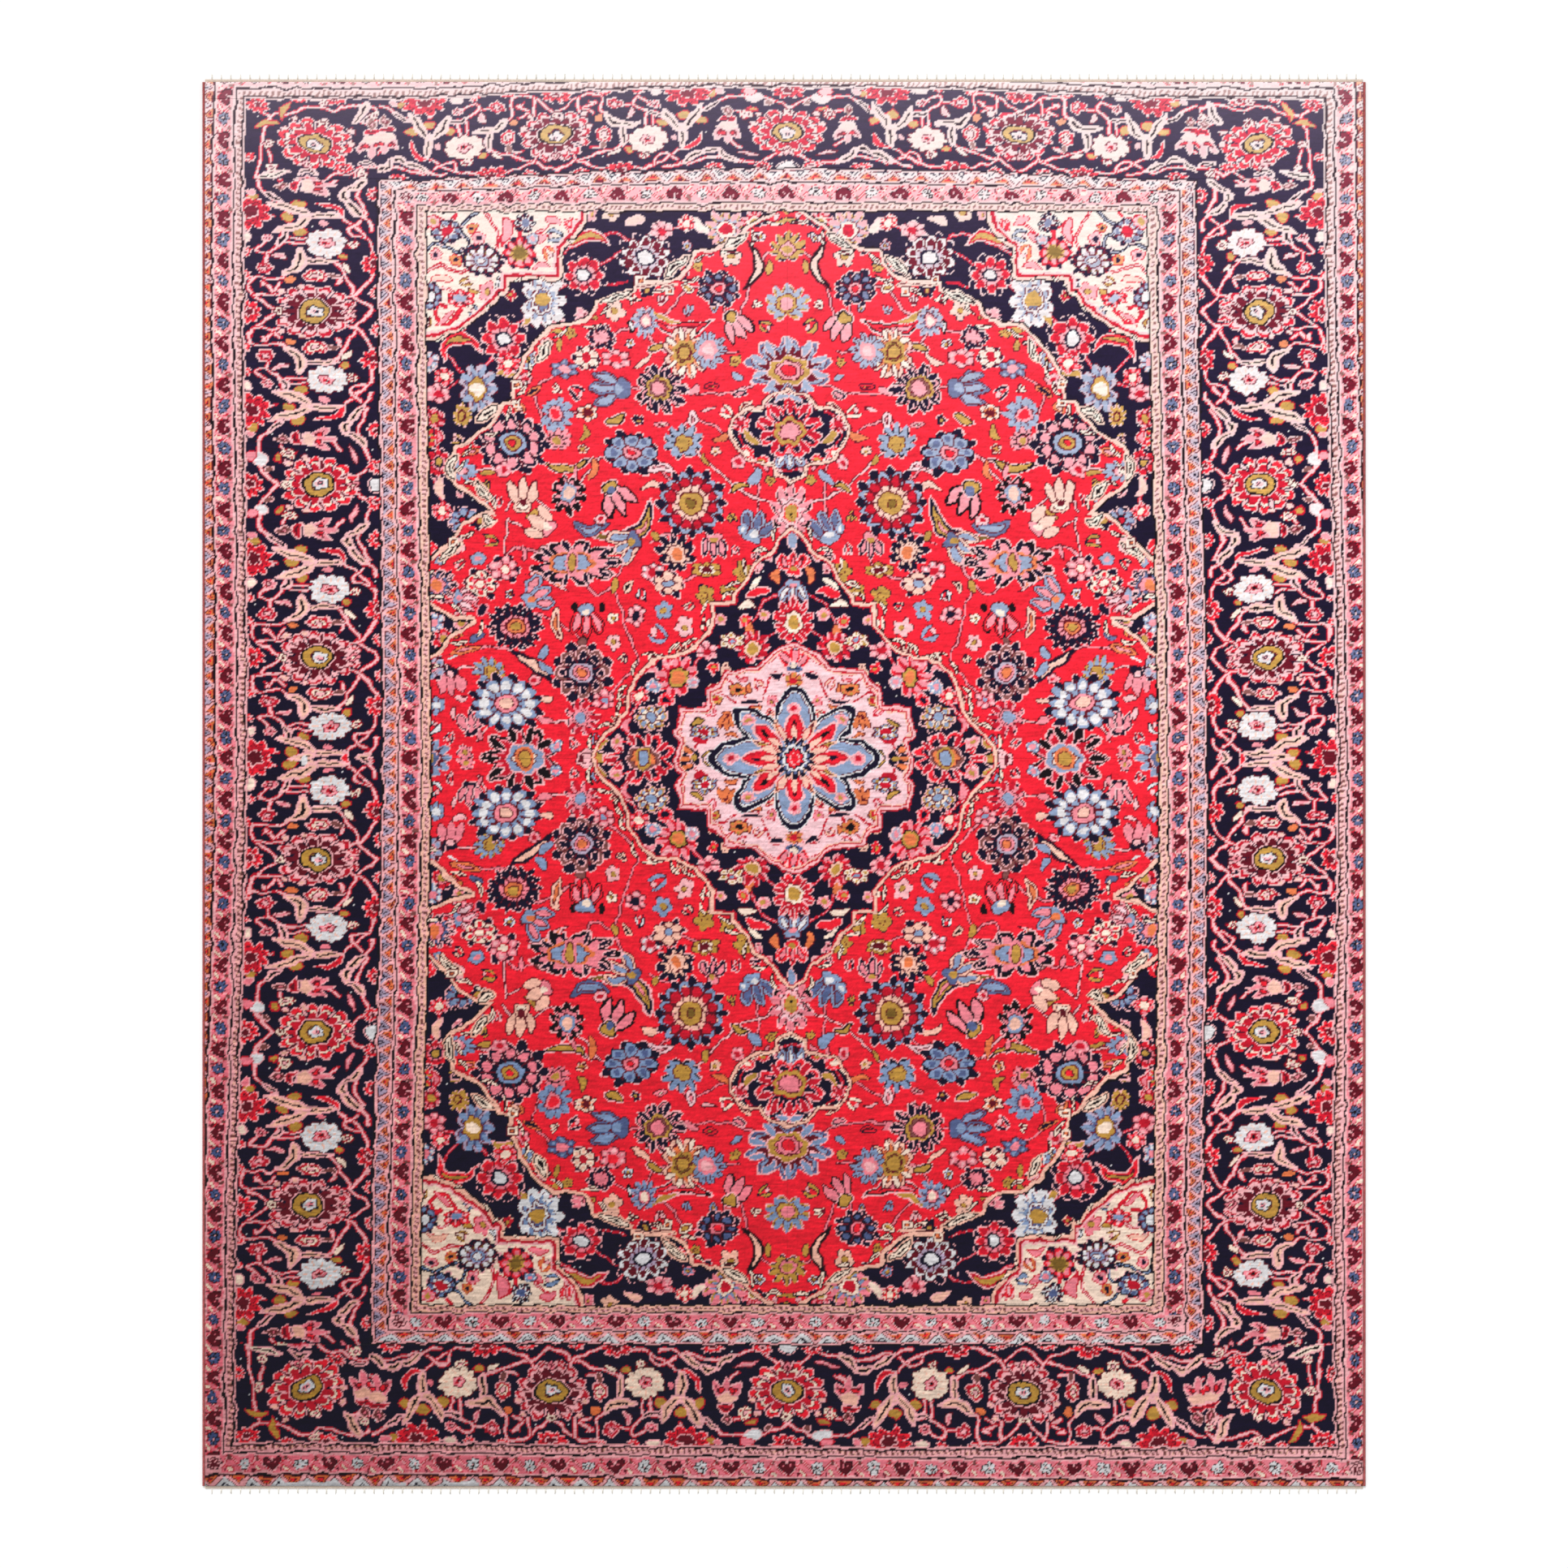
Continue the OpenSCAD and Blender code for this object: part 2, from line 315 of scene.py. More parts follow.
# The bare room that each size of small flower needs about it, the share of that room that the flower
# takes up, and how many places are tried on each square of ground of that size
FILLER_SIZES = (26, 20, 15)
FILLER_SHARE = 0.88
FILLER_TRIES = 5
FIELD_FILLERS = (
    "rose 1.6 navy 1.8 pink",
    "navy 1.8 peach",
    "maroon 1.6 blue",
    "rose 1.6 navy",
    "maroon 1.6 ivory",
    "navy 1.8 gold",
    "maroon 1.6 rose",
    "navy 1.8 white 3 blue",
    "maroon 1.6 peach 2.5 orange",
)
NAVY_FILLERS = (
    "rose 1.6 red",
    "rose 1.6 pink",
    "peach 1.6 crimson",
    "rose 1.6 gold",
    "pink 1.6 blue",
    "peach",
)
IVORY_FILLERS = (
    "crimson 1.8 pink",
    "crimson 1.8 rose 2 red",
    "navy 1.6 blue",
    "maroon 1.6 gold",
    "crimson 1.6 orange",
    "navy 1.6 white 2 slate",
)
BLUSH_FILLERS = (
    "crimson 1.8 peach",
    "navy 1.8 gold",
    "crimson 1.6 pink",
    "maroon 1.6 orange",
    "navy 1.8 ivory",
)
# How much more or less room than that the small flowers keep on each ground
SPANDREL_ROOM, NAVY_ROOM, PALE_ROOM = 1.5, 1.15, 0.75


def filler(c, x, y, size, turn, kind, rings):
    """A small flower, a bud or a sprig"""
    if kind == 0:
        c.flower(x, y, size, size, rings, 5, turn, 0.32)
        c.flower(x, y, 0.34 * size, 0.34 * size, "maroon 1.2 gold")
    elif kind == 1:
        tulip(c, x, y, 0.8 * size, 0.95 * size, turn, rings, rings, "maroon")
    else:
        for side in (-1, 1):
            foot = turned(x, y, 0, -0.9 * size, turn)
            middle = turned(x, y, 0.5 * side * size, -0.1 * size, turn)
            tip = turned(x, y, 0.55 * side * size, 0.9 * size, turn)
            c.leaf([foot, middle, tip], 0.55 * size, rings)
        c.flower(*turned(x, y, 0, 0.55 * size, turn), 0.3 * size, 0.35 * size, "maroon 1.2 rose")


def fill_gaps(c, inside, ground, fillers, room=1.0):
    """Small flowers wherever the ground is still bare: the large ones go in first"""
    pick = np.random.default_rng(SEED)
    places = np.argwhere(inside)
    for size in FILLER_SIZES:
        reach = int(room * size / c.square)
        tries = int(FILLER_TRIES * len(places) * (c.square / size) ** 2)
        for row, column in places[pick.integers(0, len(places), tries)]:
            rows = slice(max(row - reach, 0), row + reach + 1)
            columns = slice(max(column - reach, 0), column + reach + 1)
            if (c.dyes[rows, columns] == DYE_NUMBER[ground]).all():
                x, y = (column + 0.5) * c.square, (row + 0.5) * c.square
                rings = fillers[pick.integers(len(fillers))]
                filler(c, x, y, FILLER_SHARE * size, 30 * pick.integers(12), pick.integers(3), rings)


# How far along an edge its direction is read, for the leaves on it
LEAN_REACH = 4


def edge_leaves(c, loop, gap, size, rings):
    """The curled pale leaves that spring outwards from an edge"""
    loop = np.array(loop, float)
    if not np.allclose(loop[0], loop[-1]):
        loop = np.concatenate((loop, loop[:1]))
    x, y = loop.T
    outwards = 1 if np.sum(x[:-1] * y[1:] - x[1:] * y[:-1]) > 0 else -1
    along = np.concatenate(([0], np.cumsum(np.hypot(np.diff(x), np.diff(y)))))
    for number, distance in enumerate(np.arange(gap / 2, along[-1] - LEAN_REACH, gap)):
        here = np.interp(distance, along, x), np.interp(distance, along, y)
        there = np.interp(distance + LEAN_REACH, along, x), np.interp(distance + LEAN_REACH, along, y)
        turn = math.degrees(math.atan2(there[1] - here[1], there[0] - here[0])) - 90
        way = 1 if number % 2 else -1
        foot = turned(*here, 0, -0.8 * way * size, turn)
        middle = turned(*here, 0.75 * outwards * size, 0, turn)
        tip = turned(*here, 1.1 * outwards * size, 1.1 * way * size, turn)
        c.leaf([foot, middle, tip], 0.6 * size, rings)


# ---------------------------------------------------------------- the field's quarter


def outlines(node):
    """The closed outlines of a node's top face, largest first, in millimetres about the field's middle"""
    mesh = bpy.data.objects[node].data
    keys = [tuple(round(value / MM, 2) for value in vertex.co) for vertex in mesh.vertices]
    edges = set()
    for face in mesh.polygons:
        corners = [keys[index] for index in face.vertices]
        if min(corner[2] for corner in corners) > PILE_TOP - 0.1:
            for a, b in zip(corners, [*corners[1:], corners[0]]):
                if (b, a) in edges:
                    edges.remove((b, a))
                else:
                    edges.add((a, b))
    following = dict(edges)
    loops = []
    while following:
        loop = list(following.popitem())
        while loop[-1] in following:
            loop.append(following.pop(loop[-1]))
        loops.append([(place[0] - CENTRE_X, place[1] - CENTRE_Y) for place in loop[:-1]])
    return sorted(loops, key=lambda loop: -max(abs(x) + abs(y) for x, y in loop))


# Far enough for a shape's rim to fall outside the field
PAST_FRAME = 20


def past_the_frame(loop):
    """The same outline, with the part of it along the field's frame moved outside"""
    return [(x + PAST_FRAME * (x > HALF_W - 1), y + PAST_FRAME * (y > HALF_L - 1)) for x, y in loop]


FIELD_VINES = [
    (
        [(0, 820), (105, 770), (205, 765), (295, 775), (375, 775), (430, 730), (490, 715), (585, 660)],
        7,
        "maroon 1.8 pink",
    ),
    ([(210, 535), (275, 605), (333, 640), (400, 630), (460, 610), (525, 620)], 7, "maroon 1.8 pink"),
    ([(455, 410), (525, 432), (575, 440), (600, 425), (605, 395), (655, 368)], 7, "maroon 1.8 pink"),
    ([(600, 395), (604, 440), (596, 500)], 6.5, "maroon 1.6 rose"),
    ([(445, 180), (500, 162), (560, 200), (610, 232), (690, 225)], 7, "maroon 1.8 pink"),
    ([(445, 85), (520, 78), (605, 115), (660, 40)], 7, "maroon 1.8 rose"),
    ([(435, 325), (437, 265), (445, 180), (420, 120)], 7, "maroon 1.8 pink"),
    ([(585, 275), (540, 300), (495, 285), (445, 250)], 7, "maroon 1.8 pink"),
    ([(585, 275), (640, 300), (690, 335), (730, 330)], 7, "maroon 1.8 pink"),
    ([(75, 480), (72, 590), (110, 660), (205, 712), (225, 665)], 7, "maroon 1.8 pink"),
    ([(0, 520), (105, 560), (180, 628), (225, 665)], 7, "maroon 1.8 rose"),
    ([(145, 985), (210, 985), (260, 930), (390, 880), (427, 840)], 7, "maroon 1.8 pink"),
    ([(0, 1070), (60, 1040), (110, 910), (145, 985)], 7, "maroon 1.8 pink"),
    ([(245, 430), (265, 368), (182, 395), (165, 448), (210, 535)], 7, "maroon 1.8 pink"),
    ([(335, 450), (375, 370), (420, 345), (455, 410)], 7, "maroon 1.8 pink"),
    ([(468, 555), (500, 520), (565, 560), (600, 520)], 7, "maroon 1.8 rose"),
    ([(400, 630), (425, 600), (468, 555)], 7, "maroon 1.8 rose"),
    ([(215, 850), (250, 800), (295, 775)], 7, "maroon 1.8 pink"),
    ([(300, 915), (275, 860), (215, 850), (110, 850)], 7, "maroon 1.8 pink"),
    ([(640, 180), (700, 190), (740, 150)], 6.5, "maroon 1.6 rose"),
    ([(400, 122), (330, 200), (345, 250), (375, 360)], 6.5, "maroon 1.6 pink"),
    ([(300, 450), (260, 470), (210, 470)], 6.5, "maroon 1.6 pink"),
    ([(525, 620), (520, 700), (535, 770), (472, 815)], 6.5, "maroon 1.6 pink"),
    ([(690, 600), (640, 610), (605, 605), (585, 660)], 6.5, "maroon 1.6 rose"),
]

FIELD_LEAVES = [
    ([(600, 230), (575, 215), (540, 190), (505, 158)], 26, "maroon 2 navy 5 peach"),
    ([(535, 205), (525, 190), (508, 178)], 20, "maroon 2 blue"),
    ([(520, 238), (525, 222), (540, 212)], 18, "maroon 2 blue"),
    ([(650, 262), (660, 256), (678, 250)], 18, "maroon 2 slate"),
    ([(495, 320), (500, 285), (488, 250)], 22, "maroon 2 peach 4 orange"),
    ([(655, 235), (690, 228), (722, 218)], 22, "maroon 2 orange 4 pink"),
    ([(705, 214), (725, 204)], 6, "white"),
    ([(715, 395), (725, 384), (742, 380)], 18, "pink 2 navy"),
    ([(462, 500), (440, 482), (410, 480), (382, 492)], 30, "maroon 2 slate 5 blue"),
    ([(400, 470), (345, 468), (310, 490), (295, 545)], 34, "rose 3 navy 5 gold 4 pink"),
    ([(425, 462), (370, 462), (330, 476)], 16, "rose 2 olive"),
    ([(530, 622), (480, 606), (445, 612), (415, 632)], 22, "rose 2 black 3 gold"),
    ([(415, 632), (412, 605), (424, 582)], 18, "maroon 2 orange"),
    ([(650, 648), (670, 642), (694, 640)], 20, "maroon 2 orange 3 pink"),
    ([(518, 782), (535, 770), (556, 762)], 16, "maroon 2 orange 2 navy"),
    ([(345, 722), (366, 708), (388, 704)], 24, "rose 2 black 3 gold"),
    ([(152, 733), (170, 729), (188, 727)], 8, "maroon 1.5 rose"),
    ([(332, 372), (345, 362), (352, 345)], 16, "maroon 2 peach 3 black"),
    ([(242, 600), (275, 612), (300, 598)], 22, "maroon 2 blush 5 pink"),
    ([(84, 570), (106, 572), (128, 556)], 20, "rose 2 black 3 gold"),
    ([(62, 608), (72, 590), (90, 578)], 24, "maroon 2 blue"),
    ([(300, 935), (262, 908), (215, 898), (155, 918)], 34, "rose 3 black 3 red 5 pink"),
    ([(300, 948), (265, 925), (225, 912)], 14, "rose 2 gold"),
    ([(96, 978), (58, 1030), (84, 1085)], 22, "maroon 2 black 4 peach"),
    ([(252, 868), (275, 862), (298, 852)], 22, "rose 2 black 3 gold"),
    ([(400, 920), (415, 928), (436, 924)], 18, "maroon 2 gold 3 red"),
    ([(645, 88), (656, 80), (668, 68)], 16, "maroon 2 gold"),
    ([(688, 128), (700, 124), (716, 128)], 14, "maroon 2 rose"),
    ([(440, 230), (447, 240), (440, 252)], 18, "maroon 2 brown"),
    ([(560, 500), (545, 510), (534, 522)], 16, "maroon 2 gold"),
    ([(182, 640), (180, 625), (170, 612)], 14, "maroon 2 gold"),
    ([(505, 128), (520, 120), (536, 122)], 16, "maroon 2 peach"),
    ([(560, 480), (596, 500)], 7, "maroon 1.8 rose"),
    ([(470, 348), (520, 380), (560, 384)], 14, "maroon 2 rose 2 orange"),
    ([(320, 560), (290, 575), (262, 566)], 14, "maroon 2 peach"),
    ([(120, 690), (140, 672), (166, 668)], 18, "maroon 2 orange"),
    ([(445, 665), (430, 680), (432, 700)], 16, "maroon 2 gold"),
    ([(80, 660), (60, 690), (30, 700)], 18, "maroon 2 pink 3 peach"),
    ([(330, 820), (300, 835), (290, 850)], 14, "maroon 2 peach"),
]

FIELD_BUDS = [
    (520, 80, 18, 28, -80, "maroon 2 pink"),
    (565, 430, 12, 32, 10, "maroon 2 pink"),
    (525, 436, 16, 22, 60, "maroon 2 brown"),
    (640, 600, 15, 30, 90, "maroon 2 gold"),
    (520, 318, 16, 22, 40, "maroon 2 orange"),
    (612, 275, 12, 22, 90, "maroon 2 gold"),
    (655, 310, 20, 24, 30, "pink 2 navy"),
    (452, 600, 14, 24, 0, "maroon 2 pink"),
    (375, 360, 18, 26, 20, "maroon 2 gold"),
    (285, 465, 16, 22, -30, "maroon 2 gold"),
    (90, 495, 18, 24, 0, "maroon 2 white 4 maroon"),
    (205, 712, 22, 30, 180, "maroon 2 blush 5 pink"),
    (205, 770, 18, 28, 60, "maroon 2 pink"),
    (165, 780, 18, 30, 90, "navy 3 red 3 gold"),
    (105, 762, 18, 28, 80, "rose 2 navy 3 pink"),
    (108, 800, 16, 24, 120, "maroon 2 blue"),
    (330, 905, 16, 24, 0, "black 4 white"),
    (155, 945, 18, 26, 0, "maroon 2 blue 3 gold"),
    (210, 985, 20, 28, -60, "maroon 2 ivory 3 gold"),
    (40, 1030, 16, 28, 10, "maroon 2 gold"),
    (482, 865, 16, 26, 0, "maroon 2 gold"),
    (50, 612, 14, 24, -30, "maroon 2 pink"),
    (715, 92, 12, 24, 0, "maroon 2 rose"),
    (400, 315, 14, 16, 0, "black"),
    (460, 315, 14, 16, 0, "black"),
    (570, 733, 22, 22, 45, "maroon 2 orange 3 peach"),
    (660, 48, 14, 26, -20, "maroon 2 pink"),
    (740, 250, 16, 30, 70, "maroon 2 white"),
    (385, 560, 16, 26, 0, "maroon 2 blue 3 slate"),
    (270, 700, 16, 30, 90, "maroon 2 pink 3 ivory"),
    (30, 760, 16, 28, 160, "maroon 2 gold"),
]

FIELD_TULIPS = [
    (435, 292, 32, 36, 180, "maroon 2 blue", "black 3 red 3 pink", "ivory"),
    (565, 548, 30, 36, 0, "maroon 2 peach 4 ivory", "maroon 3 peach", "maroon"),
    (370, 548, 34, 40, 150, "rose 2 black 3 gold", "black 5 pink", "slate"),
    (350, 448, 34, 36, -120, "maroon 2 slate", "maroon 2 peach 4 blue", "gold"),
    (540, 340, 34, 32, 60, "maroon 2 blue", "maroon 2 blue 4 pink", "orange"),
    (525, 490, 32, 28, -60, "maroon 2 pink", "maroon 2 peach", "ivory"),
    (75, 482, 34, 36, 20, "maroon 2 blue", "maroon 2 blue 4 slate", "white"),
    (375, 775, 34, 44, -90, "maroon 2 slate", "maroon 2 slate 3 blue", "blue"),
    (680, 70, 26, 26, 0, "rose 2 navy", "rose 2 navy 3 pink", "pink"),
    (690, 335, 26, 26, 100, "maroon 2 blue", "maroon 2 pink 3 blush", "pink"),
    (110, 910, 28, 34, 150, "rose 2 black 3 gold", "black 3 pink", "gold"),
    (720, 165, 26, 30, 180, "maroon 2 navy", "maroon 2 pink", "rose"),
    (165, 448, 24, 26, 180, "maroon 2 pink", "rose 2 navy 4 pink", "gold"),
]

FIELD_PALMETTES = [
    (
        *(575, 0, 62, 78, -90),
        "rose 3 black 8 pink 5 crimson",
        "rose 2 black",
        "rose 3 blue 9 maroon 3 ivory",
        "orange 5 gold",
    ),
    (762, 0, 36, 44, 90, "rose 3 blue 5 maroon", "blue", "rose 2 slate", "gold"),
    (640, 182, 28, 34, -60, "maroon 2 gold 4 blue", "blue", "maroon 2 gold 3 slate", "gold"),
    (445, 85, 34, 36, 90, "rose 3 navy 3 pink", "crimson", "maroon 2 pink 4 blue", "blue"),
    (
        *(455, 410, 46, 92, 90),
        "rose 3 black 6 navy 3 pink",
        "rose 2 navy",
        "orange 4 blue 12 orange 4 peach",
        "pink 4 gold",
    ),
    (468, 552, 34, 40, 180, "rose 3 black 6 pink", "black", "maroon 2 blue", "peach"),
    (490, 720, 34, 34, 90, "maroon 2 blue 9 slate", "blue", "maroon 2 pink", "red"),
    (690, 602, 20, 32, 90, "maroon 2 blue", "blue", "maroon 2 pink", "rose"),
    (245, 432, 36, 40, -45, "rose 3 navy 8 peach", "navy", "maroon 2 peach", "orange"),
    (225, 665, 38, 34, 0, "rose 3 navy 6 blue", "blue", "maroon 2 gold 5 olive", "gold"),
    (0, 520, 42, 54, 0, "rose 3 black 6 pink 5 blush", "pink", "maroon 2 rose 5 red", "gold"),
    (268, 775, 50, 52, 90, "rose 3 black 6 pink 4 navy", "rose 2 navy", "gold 5 brown", "maroon 2 pink"),
    (
        *(0, 820, 84, 60, 0),
        "rose 3 slate 5 blue 8 maroon",
        "rose 2 blue",
        "rose 2 gold 8 pink",
        "maroon 2 pink 5 red",
    ),
    (215, 850, 50, 46, 90, "maroon 3 peach 8 orange", "maroon 2 ivory", "gold 6 olive", "maroon 2 gold"),
    (165, 855, 36, 34, 90, "maroon 2 blue", "maroon 2 blue", "pink", "rose"),
    (0, 955, 45, 36, 0, "rose 3 gold 5 blue", "blue", "maroon 2 gold 5 ivory", "pink"),
    (0, 1072, 35, 30, 0, "rose 2 navy 5 gold", "gold", "maroon 2 pink", "gold"),
    (745, 362, 32, 38, 90, "rose 3 navy 6 slate", "rose 2 navy", "maroon 2 pink", "orange"),
    (490, 668, 28, 22, 0, "maroon 2 pink 4 black", "pink", "maroon 2 pink", "gold"),
    (300, 915, 26, 30, 180, "maroon 2 lilac 5 slate", "blue", "maroon 2 pink", "ivory"),
]

FIELD_ROSETTES = [
    (445, 180, 54, 52, 8, 0, "rose 3 brown 9 navy", "rose 2 navy", "lilac 5 pink 6 orange"),
    (605, 115, 66, 50, 12, 0, "maroon 2 blue 16 slate 3 blue", "white", "maroon 3 pink 6 peach"),
    (585, 275, 50, 40, 14, 0, "rose 2 navy 12 pink", "navy", "maroon 3 orange 4 gold"),
    (585, 660, 66, 55, 10, 0, "rose 3 navy 9 rose 3 navy", "pink", "blue 7 maroon 3 gold 6 red"),
    (333, 640, 52, 38, 8, 0, "navy 3 blue", "slate", "maroon 3 pink 5 red"),
    (
        *(210, 535, 62, 62, 12, 15),
        "maroon 2 blue 8 peach 4 pink 8 peach",
        "maroon 2 crimson",
        "maroon 3 gold 12 olive",
    ),
    (655, 366, 32, 25, 6, 0, "maroon 2 ivory 9 pink", "red", "crimson 3 ivory"),
    (605, 397, 30, 24, 6, 0, "maroon 2 pink", "rose", "crimson 3 ivory"),
    (660, 418, 18, 15, 5, 0, "maroon 2 blue", "blue", "pink"),
    (605, 605, 18, 15, 5, 0, "maroon 2 pink", "rose", "crimson"),
    (425, 725, 22, 18, 6, 0, "maroon 2 ivory 5 orange", "peach", "maroon"),
    (472, 815, 30, 20, 6, 0, "maroon 2 slate", "blue", "pink"),
    (427, 840, 24, 22, 6, 0, "maroon 2 ivory", "peach", "crimson"),
    (295, 390, 26, 20, 6, 0, "maroon 2 pink", "white", "crimson"),
    (262, 366, 30, 22, 6, 0, "maroon 2 peach", "peach", "maroon 2 blue"),
    (182, 395, 30, 17, 6, 0, "maroon 2 gold 4 ivory", "gold", "maroon"),
    (400, 122, 22, 20, 6, 0, "maroon 2 pink", "rose", "crimson 3 blue"),
    (145, 985, 40, 32, 8, 0, "rose 2 navy", "slate", "maroon 2 pink 4 red"),
    (365, 838, 30, 20, 6, 0, "maroon 2 pink", "rose", "red"),
    (392, 882, 26, 22, 6, 0, "rose 2 navy 5 pink", "navy", "pink"),
    (102, 480, 12, 12, 5, 0, "maroon 2 blue", "blue", "white"),
    (760, 190, 26, 24, 6, 0, "maroon 2 lilac", "blue", "pink"),
    (752, 112, 18, 20, 6, 0, "maroon 2 blue", "blue", "white"),
    (712, 270, 20, 20, 6, 0, "maroon 2 orange", "gold", "crimson"),
    (330, 300, 22, 20, 6, 0, "maroon 2 pink", "rose", "navy"),
    (110, 620, 14, 14, 5, 0, "maroon 2 pink", "rose", "crimson"),
    (20, 660, 16, 16, 6, 0, "maroon 2 ivory", "pink", "crimson"),
    (545, 165, 12, 12, 5, 0, "maroon 2 pink", "rose", "crimson"),
    (400, 500, 14, 12, 5, 0, "maroon 2 rose", "pink", "crimson"),
    (255, 1000, 18, 16, 6, 0, "maroon 2 pink", "rose", "crimson"),
    (555, 795, 16, 14, 5, 0, "maroon 2 pink", "rose", "crimson"),
    (650, 540, 14, 12, 5, 0, "maroon 2 blue", "white", "pink"),
    (700, 300, 12, 12, 5, 0, "maroon 2 pink", "rose", "crimson"),
    (500, 25, 14, 12, 5, 0, "maroon 2 blue", "white", "pink"),
]

SPANDREL_VINES = [
    (
        [(215, 1120), (300, 1090), (430, 1015), (515, 960), (600, 880), (640, 820), (740, 765)],
        6,
        "crimson 2 pink",
    ),
    ([(680, 900), (720, 860), (700, 820), (655, 775)], 6, "crimson 2 pink"),
    ([(690, 500), (735, 540), (750, 600), (740, 700), (765, 740)], 6, "crimson 2 pink"),
    ([(300, 1050), (360, 1100), (430, 1080), (470, 1060)], 6, "crimson 2 pink"),
    ([(400, 1020), (380, 990), (340, 1000)], 5, "crimson 2 rose"),
]
SPANDREL_LEAVES = [
    ([(640, 845), (672, 878), (716, 872), (728, 830)], 26, "rose 3 red 5 gold"),
    ([(372, 1075), (415, 1098), (468, 1070)], 26, "rose 3 crimson 4 gold"),
    ([(728, 545), (742, 566), (733, 592)], 20, "rose 2 peach"),
    ([(560, 905), (548, 925), (552, 948)], 18, "rose 2 gold"),
    ([(168, 1100), (184, 1112), (196, 1130)], 20, "rose 2 ivory"),
    ([(750, 655), (738, 672), (744, 690)], 20, "rose 2 crimson 4 pink"),
    ([(470, 920), (500, 912), (530, 918)], 18, "rose 2 pink"),
    ([(620, 800), (600, 812), (575, 806)], 18, "rose 2 gold"),
    ([(340, 1115), (325, 1128), (300, 1132)], 18, "rose 2 peach"),
]
SPANDREL_ROSETTES = [
    (300, 1050, 50, 42, 10, 0, "maroon 2 white 12 lilac", "maroon", "navy 5 white"),
    (600, 880, 44, 42, 8, 0, "rose 3 red 8 pink", "crimson", "navy 5 white"),
    (590, 828, 26, 18, 6, 0, "rose 2 red", "pink", "ivory"),
    (430, 1013, 40, 36, 8, 0, "rose 3 red 7 pink", "crimson", "navy 4 white"),
    (265, 1107, 24, 18, 6, 0, "rose 2 pink", "rose", "crimson"),
    (740, 765, 26, 20, 6, 0, "maroon 2 pink", "rose", "crimson"),
    (725, 800, 20, 18, 6, 0, "rose 2 red", "pink", "ivory"),
    (758, 830, 20, 20, 6, 0, "rose 2 blue", "white", "pink"),
    (690, 497, 30, 26, 8, 0, "rose 2 slate 5 blue", "blue", "navy 4 crimson"),
    (736, 518, 20, 18, 6, 0, "rose 2 red", "pink", "ivory"),
    (742, 620, 26, 26, 8, 0, "rose 2 red 5 pink", "crimson", "navy 4 gold"),
    (748, 712, 20, 20, 6, 0, "rose 2 crimson", "pink", "gold"),
    (214, 1122, 18, 16, 6, 0, "rose 2 red", "ivory", "ivory"),
    (735, 250, 22, 22, 6, 0, "rose 2 red 4 pink", "crimson", "gold"),
    (755, 285, 20, 20, 6, 0, "rose 2 blue", "white", "pink"),
    (700, 285, 14, 12, 5, 0, "rose 2 pink", "rose", "gold"),
]
SPANDREL_PALMETTES = [
    (515, 960, 58, 44, 90, "maroon 2 white 8 blue", "white", "maroon 2 white 4 slate", "gold"),
    (655, 775, 48, 38, 90, "maroon 2 lilac 8 slate", "blue", "maroon 2 gold", "ivory"),
    (130, 1112, 40, 36, 0, "rose 3 gold 5 blue", "pink", "maroon 2 ivory", "crimson"),
    (690, 718, 18, 22, 0, "rose 2 gold", "gold", "maroon", "gold"),
    (775, 670, 24, 28, 90, "rose 2 gold 5 blue", "red", "ivory", "crimson"),
    (70, 1128, 24, 20, 0, "rose 2 crimson", "pink", "ivory", "gold"),
]

CORNER_VINES = [
    ([(640, 1150), (612, 1090), (640, 1040), (690, 1020), (740, 1035), (775, 1000)], 8, "crimson 3 rose"),
    ([(490, 1125), (530, 1095), (565, 1060), (645, 1045)], 6, "crimson 2 rose"),
    ([(690, 965), (720, 985), (755, 970)], 7, "crimson 2 rose"),
    ([(600, 1130), (568, 1112), (570, 1082), (598, 1072), (606, 1092)], 9, "crimson 3 red"),
    ([(690, 940), (716, 912), (744, 926), (738, 950), (722, 946)], 9, "crimson 3 red"),
    ([(700, 1140), (716, 1128), (740, 1136)], 9, "crimson 3 red"),
    (
        [(650, 1150), (695, 1112), (675, 1090), (672, 1065), (700, 1062), (745, 1078), (785, 1040)],
        8,
        "navy 3 blue",
    ),
]
CORNER_LEAVES = [
    ([(600, 1135), (590, 1110), (602, 1085)], 26, "crimson 3 pink"),
    ([(508, 1102), (522, 1090), (545, 1088)], 18, "crimson 2 pink"),
    ([(480, 1118), (492, 1128), (510, 1130)], 20, "crimson 2 pink"),
    ([(676, 985), (668, 978), (655, 980)], 14, "maroon 2 gold"),
    ([(705, 1000), (730, 1006), (750, 998)], 18, "crimson 2 peach"),
    ([(740, 905), (720, 925), (700, 940)], 14, "crimson 2 pink"),
    ([(540, 1025), (520, 1035), (500, 1032)], 16, "crimson 2 pink"),
]
